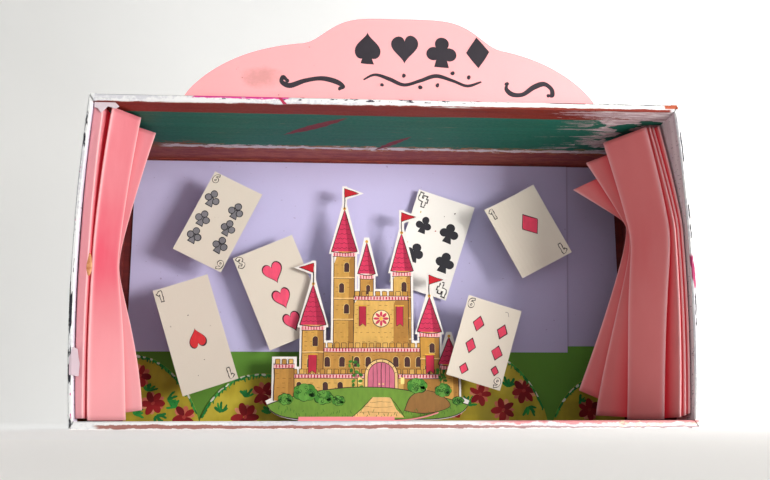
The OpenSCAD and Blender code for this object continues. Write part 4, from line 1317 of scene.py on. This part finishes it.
def draw_castle(material):
    """The back towers and keep first, then the walls, the front towers, the gate and the hill."""
    drawing = Drawing(castle_face, 0.0035)
    for k, tower in drawing.side_by_side(enumerate(TOWERS[1:4])):
        tower_front(drawing, tower, STONE[k])
    tower_front(drawing, TOWERS[0], STONE[2], 0)
    draw_rose_window(drawing, (KEEP_X, 62))
    for side in drawing.side_by_side((-11.5, 11.5)):
        draw_banner(drawing, KEEP_X + side, 70, 4.4, 13, BANNER_RED)
    wall_front(drawing, WALLS[0], STONE[1], (-25, -16, -7, 0, 17, 24, 31), 35.5, 2.8, 5.6)
    for tower, stone in drawing.side_by_side(((TOWERS[4], STONE[0]), (TOWERS[5], STONE[3]))):
        tower_front(drawing, tower, stone)
    wall_front(drawing, WALLS[1], STONE[2], (-42, -26, -17, 28, 34), 20.5, 2.6, 5.0)
    for tower, stone in drawing.side_by_side(((TOWERS[6], STONE[1]), (TOWERS[7], STONE[0]))):
        tower_front(drawing, tower, stone)
    for tower in drawing.side_by_side(TOWERS[4:6]):
        draw_banner(drawing, tower[0], 40, 5, 12, BANNER_RED)
    draw_gate(drawing)
    draw_ivy(drawing, (-8, 15), 24, 3.2)
    draw_ivy(drawing, (45.5, 16), 16, 2.4)
    draw_hill(drawing)
    drawing.made("drawn_castle", material, "castle_card")


# Header

CHARCOAL = "#322e35"
# Lines through which the brush goes, as x and z, the dots about the flourish and the row of the suits
LEFT_SCROLL = [(-55.6, 185.6), (-58, 187.6), (-58.4, 184.6), (-54, 182.6), (-46, 185.6), (-37, 187.2),
               (-29, 185.4), (-25.2, 183), (-27, 181.6)]
RIGHT_SCROLL = [(65, 186.4), (64.6, 183), (68, 180.2), (74, 180.4), (80, 184.6), (86, 186.6), (90, 184),
                (90.4, 180.6), (88, 180)]
FLOURISH = [(-14, 186.8), (-8, 189.8), (0, 187.6), (8, 184.6), (17, 187.2), (26, 190), (35, 187.4),
            (43, 184.6), (51, 187)]
FLOURISH_DOTS = [(-4, 184.2), (8, 189.8), (17, 183.2), (26.5, 184.6), (35, 191.8), (44, 189.6)]
SUIT_ROW = 205.5


def header_face(u, v, h):
    """Places (x, z) on the header's front."""
    return np.stack([u, HEADER_Y - h, v], -1)


def draw_header(material):
    """A brushed scroll on each side, the four suits of cards in a row and a flourish under them."""
    drawing = Drawing(header_face, 0.01)
    for path in (curve(LEFT_SCROLL, 60), curve(RIGHT_SCROLL, 60)):
        drawing.line(path, 2.7, CHARCOAL, 0.15, 0.55)
        for end in (path[0], path[-1]):
            drawing.fill(oval(end, 2.4, 2.1, 20, 16), CHARCOAL, 0.15)
    spade = np.array((-12.0, SUIT_ROW))
    stem = np.array([(-0.9, -2), (0.9, -2), (3.6, -9.6), (-3.8, -9.2)])
    drawing.fill(heart(spade + (0, 1.4), 14.5, 15.5, 180), CHARCOAL, 0.25)
    drawing.fill(spade + polygon(stem), CHARCOAL, 0.2)
    drawing.fill(heart((8.5, SUIT_ROW - 0.6), 15.5, 16), CHARCOAL, 0.3)
    draw_club(drawing, (29.0, SUIT_ROW - 1.4), 16.5, CHARCOAL, CHARCOAL, 0.0)
    diamond = np.array([(0, 9), (6.6, 0.2), (0.3, -9), (-6.4, -0.3)])
    drawing.fill(np.array((49.0, SUIT_ROW - 1.2)) + polygon(diamond), CHARCOAL, 0.25)
    drawing.line(curve(FLOURISH, 60), 2.0, CHARCOAL, 0.15, 0.6)
    for k, spot in enumerate(FLOURISH_DOTS):
        drawing.fill(oval(spot, 2.3, 2.1, 20 * k, 16), CHARCOAL, 0.12)
    drawing.made("painted_header", material, "pink_card")


# Trim on the rims and the glue

# The left rim's bevel and flat front, and the way of the slope from there to the first pleat
RIM_BEVEL, RIM_FLAT = 0.7, 1.4
RIM_SLOPE = (0.88, 0.47)
# Corners of the scrap, along the rim's face and up, and of the tape, across and up from the rim's middle
SCRAP = [(0.3, 27.0), (4.6, 26.2), (5.2, 33.0), (4.3, 39.6), (2.0, 40.6), (0.5, 36.0)]
TAPE = [(145.0, -1.2), (147.4, -1.25), (156.2, 0.9), (154.8, 1.2)]
# The bead of glue on the left curtain
GLUE_AT = (-155.4, FRONT_Y + 3.4, 83.5)
GLUE_SIZE = (3.4, 1.5, 12.0)


def left_rim_face(u, v, h):
    """Places (u, v) over the left end's rim: u runs along its flat front, then slopes in to the first
    pleat; v is the height."""
    slope = np.maximum(u - RIM_FLAT, 0)
    x = -BOX_HALF - bow_at(v) + RIM_BEVEL + np.minimum(u, RIM_FLAT) + slope * RIM_SLOPE[0]
    return np.stack([x, FRONT_Y - h + slope * RIM_SLOPE[1], v], -1)


def bottom_rim_face(u, v, h):
    """Places (u, v) on the bottom wall's flat rim: u is across the box and v up from its middle."""
    return np.stack([u, FRONT_Y - h, WALL_T / 2 + v], -1)


def stick_trim():
    """A scrap of paper stuck over the left rim and a strip of tape across the lower right corner."""
    scrap = Drawing(left_rim_face)
    scrap.fill(polygon(np.array(SCRAP), 60), "#bfadb7", 0.25, 6)
    scrap.made("rim_scrap", drawn_finish("thin_paper", (90.0, 90.0, 50.0)), "white_paper")
    tape = Drawing(bottom_rim_face)
    tape.fill(polygon(np.array(TAPE), 60), "#b9b6b6", 0.12, 6)
    tape.made("corner_tape", drawn_finish("dull_tape", (60.0, 60.0, 200.0)), "white_paper")


def glue_bead(name, middle, size, material):
    """A drop of dried glue: a sphere scaled on each axis, whose rings shrink by up to a quarter towards the
    top and grow as much towards the foot."""
    lift = np.linspace(-np.pi / 2, np.pi / 2, 17)[1:-1]
    turn = np.linspace(0, 2 * np.pi, 24, endpoint=False)
    swell = np.cos(lift) * (1 - 0.25 * np.sin(lift))
    unit_ball = np.stack([swell[:, None] * np.cos(turn), swell[:, None] * np.sin(turn),
                          np.sin(lift)[:, None] + 0 * turn], -1).reshape(-1, 3)
    points = np.vstack([unit_ball, [(0, 0, -1), (0, 0, 1)]]) * np.array(size) / 2 + np.array(middle)
    n = len(turn)
    last = len(unit_ball)
    lids = [fan(last, np.arange(n)[::-1]), fan(last + 1, np.arange(n) + last - n)]
    triangles = np.vstack([cells(len(lift), n, True), *lids])
    make_piece(name, points, triangles, material, smooth=True)


def amber_finish():
    """Dried glue: amber, clouded and glossy."""
    paint = Paint("dried_glue")
    cloud = paint.noise(700.0, 2.0)
    colour = paint.mix(cloud.above(0.5, 0.2), tint("#b9703f"), tint("#cc9060"))
    return paint.finish(colour, 0.25 + cloud * 0.2, cloud, 0.05, 0.5)


# Stage, light and camera

def backdrop():
    """A pale dish: a flat floor that turns up through a quarter circle into a round wall, spun about Z."""
    floor_r, bend_r, wall_h, sunk = 1300.0, 700.0, 2600.0, 0.05
    floor = np.linspace(2, floor_r, 12)
    t = np.linspace(0, np.pi / 2, 16)
    radius = np.concatenate([floor, floor_r + bend_r * np.sin(t), [floor_r + bend_r]])
    height = np.concatenate([0 * floor, bend_r * (1 - np.cos(t)), [wall_h]]) - sunk
    turn = np.linspace(0, 2 * np.pi, 96, endpoint=False)
    points = np.stack([radius[:, None] * np.cos(turn), radius[:, None] * np.sin(turn),
                       height[:, None] + 0 * turn], -1).reshape(-1, 3)
    pole = len(points)
    points = np.vstack([points, [[0, 0, height[0]]]])
    triangles = np.vstack([cells(len(radius), len(turn), True)[:, ::-1], fan(pole, np.arange(len(turn)))])
    mesh = bpy.data.meshes.new("pale_sweep")
    mesh.from_pydata((points * MM).tolist(), [], triangles.tolist())
    mesh.polygons.foreach_set("use_smooth", np.ones(len(triangles), bool))
    mesh.materials.append(sweep_finish())
    sweep = put_in_scene("pale_sweep", mesh)


def sweep_finish():
    """Pale paper with the light of the room on it: it glows behind the box, more to the right, and again
    high up on the left."""
    paint = Paint("pale_sweep")
    x, y, z = paint.axes()
    cloud = paint.noise(3.0, 2.0)
    glow = paint.mix(x.above(-100.0, 900.0), tint("#4c4e4f"), tint("#d2d3d3"))
    behind = 0.1 + y.above(-250.0, 250.0) * 0.9
    high_left = z.above(850.0, 350.0) * x.below(-350.0, 350.0)
    paint.glow(paint.tone(glow, behind * (1.0 + high_left * 0.5)), 1.0)
    return paint.finish(paint.tone(tint("#efeeec"), 0.98 + cloud * 0.04), 0.9, specular=0.1)


def stand(right, up, back, place):
    """Matrix of an object at a place in metres whose own axes go right, up and back."""
    matrix = np.eye(4)
    matrix[:3] = np.stack([right, up, back, place], -1)
    return Matrix(matrix.tolist())


def aim(place, target):
    """Matrix of an object at a place whose -Z looks at the target, with +Z of the part kept upwards."""
    back = unit(np.array(place, float) - np.array(target, float))
    right = unit(np.cross((0.0, 0.0, 1.0), back))
    return stand(right, np.cross(back, right), back, place)


def soft_light(name, place, target, size, power, code):
    """A square soft box of some size in metres and power in watts."""
    lamp = bpy.data.lights.new(name, "AREA")
    lamp.size = size
    lamp.energy = power
    lamp.color = tint(code)[:3]
    put_in_scene(name, lamp).matrix_world = aim(place, target)


def light_the_stage():
    """A low window to the right of the camera, a weak fill from the front and a lamp behind for the room."""
    middle = (0.0, 0.0, 0.09)
    soft_light("window", (0.68, -0.58, 0.12), middle, 0.3, 10.8, "#fffaf4")
    soft_light("room", (-0.1, -1.3, 0.25), middle, 0.6, 1.2, "#f4f6ff")
    soft_light("behind", (0.4, 1.1, 1.2), middle, 1.2, 6.0, "#ffffff")
    world = bpy.data.worlds.new("pale_room")
    world.use_nodes = True
    sky = world.node_tree.nodes["Background"]
    sky.inputs["Color"].default_value = tint("#f2f3f6")
    sky.inputs["Strength"].default_value = 0.03
    bpy.context.scene.world = world


# The photograph's camera: place, turns in degrees, and focal length in pixels of a picture 770 wide
CAMERA_AT = (-34.65, -526.8, 4.0)
CAMERA_PITCH, CAMERA_YAW, CAMERA_ROLL = 11.15, -3.865, -0.135
FOCAL_PX, PICTURE_W, SENSOR_W = 917.5, 770, 36.0


def set_camera():
    """Forward from pitch and yaw, right level, up across both, then the two turned by the roll."""
    pitch, yaw, roll = np.radians([CAMERA_PITCH, CAMERA_YAW, CAMERA_ROLL])
    forward = np.array([-np.sin(yaw) * np.cos(pitch), np.cos(yaw) * np.cos(pitch), np.sin(pitch)])
    level = np.array([np.cos(yaw), np.sin(yaw), 0.0])
    upright = np.cross(level, forward)
    right = np.cos(roll) * level + np.sin(roll) * upright
    up = -np.sin(roll) * level + np.cos(roll) * upright
    lens = bpy.data.cameras.new("photo_camera")
    lens.sensor_fit = "HORIZONTAL"
    lens.sensor_width = SENSOR_W
    lens.lens = FOCAL_PX / PICTURE_W * SENSOR_W
    lens.clip_start = 0.01
    camera = put_in_scene("photo_camera", lens)
    camera.matrix_world = stand(right, up, -forward, np.array(CAMERA_AT) * MM)
    bpy.context.scene.camera = camera
    bpy.context.scene.view_settings.view_transform = "Standard"


# Putting it together

def dress_nodes():
    """Gives every CAD node that stays its finish."""
    white = paper_finish("white_paper", "#e9e6e2", 0.04)
    card = paper_finish("cream_card", CARD_PAPER, 0.035)
    lavender = lavender_finish()
    green = paper_finish("green_paper", "#5b8a34", 0.05)
    bush = bush_finish()
    finishes = {
        "shoebox_tray": tray_finish(),
        "header_card": header_finish(),
        "sky_sheet": lavender,
        "sky_strip": lavender,
        "ground_sheet": green,
        "ground_strip": green,
        "castle_cutout": white,
        "castle_spacer": white,
        "castle_foot_strip": paper_finish("rose_card", "#ee959b", 0.06),
        "corner_flap": paper_finish("flap_paper", "#cfc3cb", 0.12),
    }
    finishes.update({name: bush for name in BUSHES})
    for name in CARDS:
        finishes["card_" + name] = card
        finishes["spacer_" + name] = white
    finishes["card_four_clubs"] = paper_finish("white_card", WHITE_PAPER, 0.035)
    for name, material in finishes.items():
        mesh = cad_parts[name].data
        mesh.materials.clear()
        mesh.materials.append(material)


set_camera()
light_the_stage()
backdrop()
dress_nodes()
salmon = curtain_finish()
curtain("pleated_curtain_left", LEFT_FOLDS, -1, salmon)
curtain("pleated_curtain_right", RIGHT_FOLDS, 1, salmon)
pen = drawn_finish("felt_pen", (520.0, 520.0, 160.0))
draw_cards(pen)
draw_castle(pen)
brush = drawn_finish("poster_brush", (300.0, 300.0, 120.0))
for bush_name in BUSHES:
    draw_bush(bush_name, brush)
draw_header(brush)
stick_trim()
glue_bead("glue_bead", GLUE_AT, GLUE_SIZE, amber_finish())
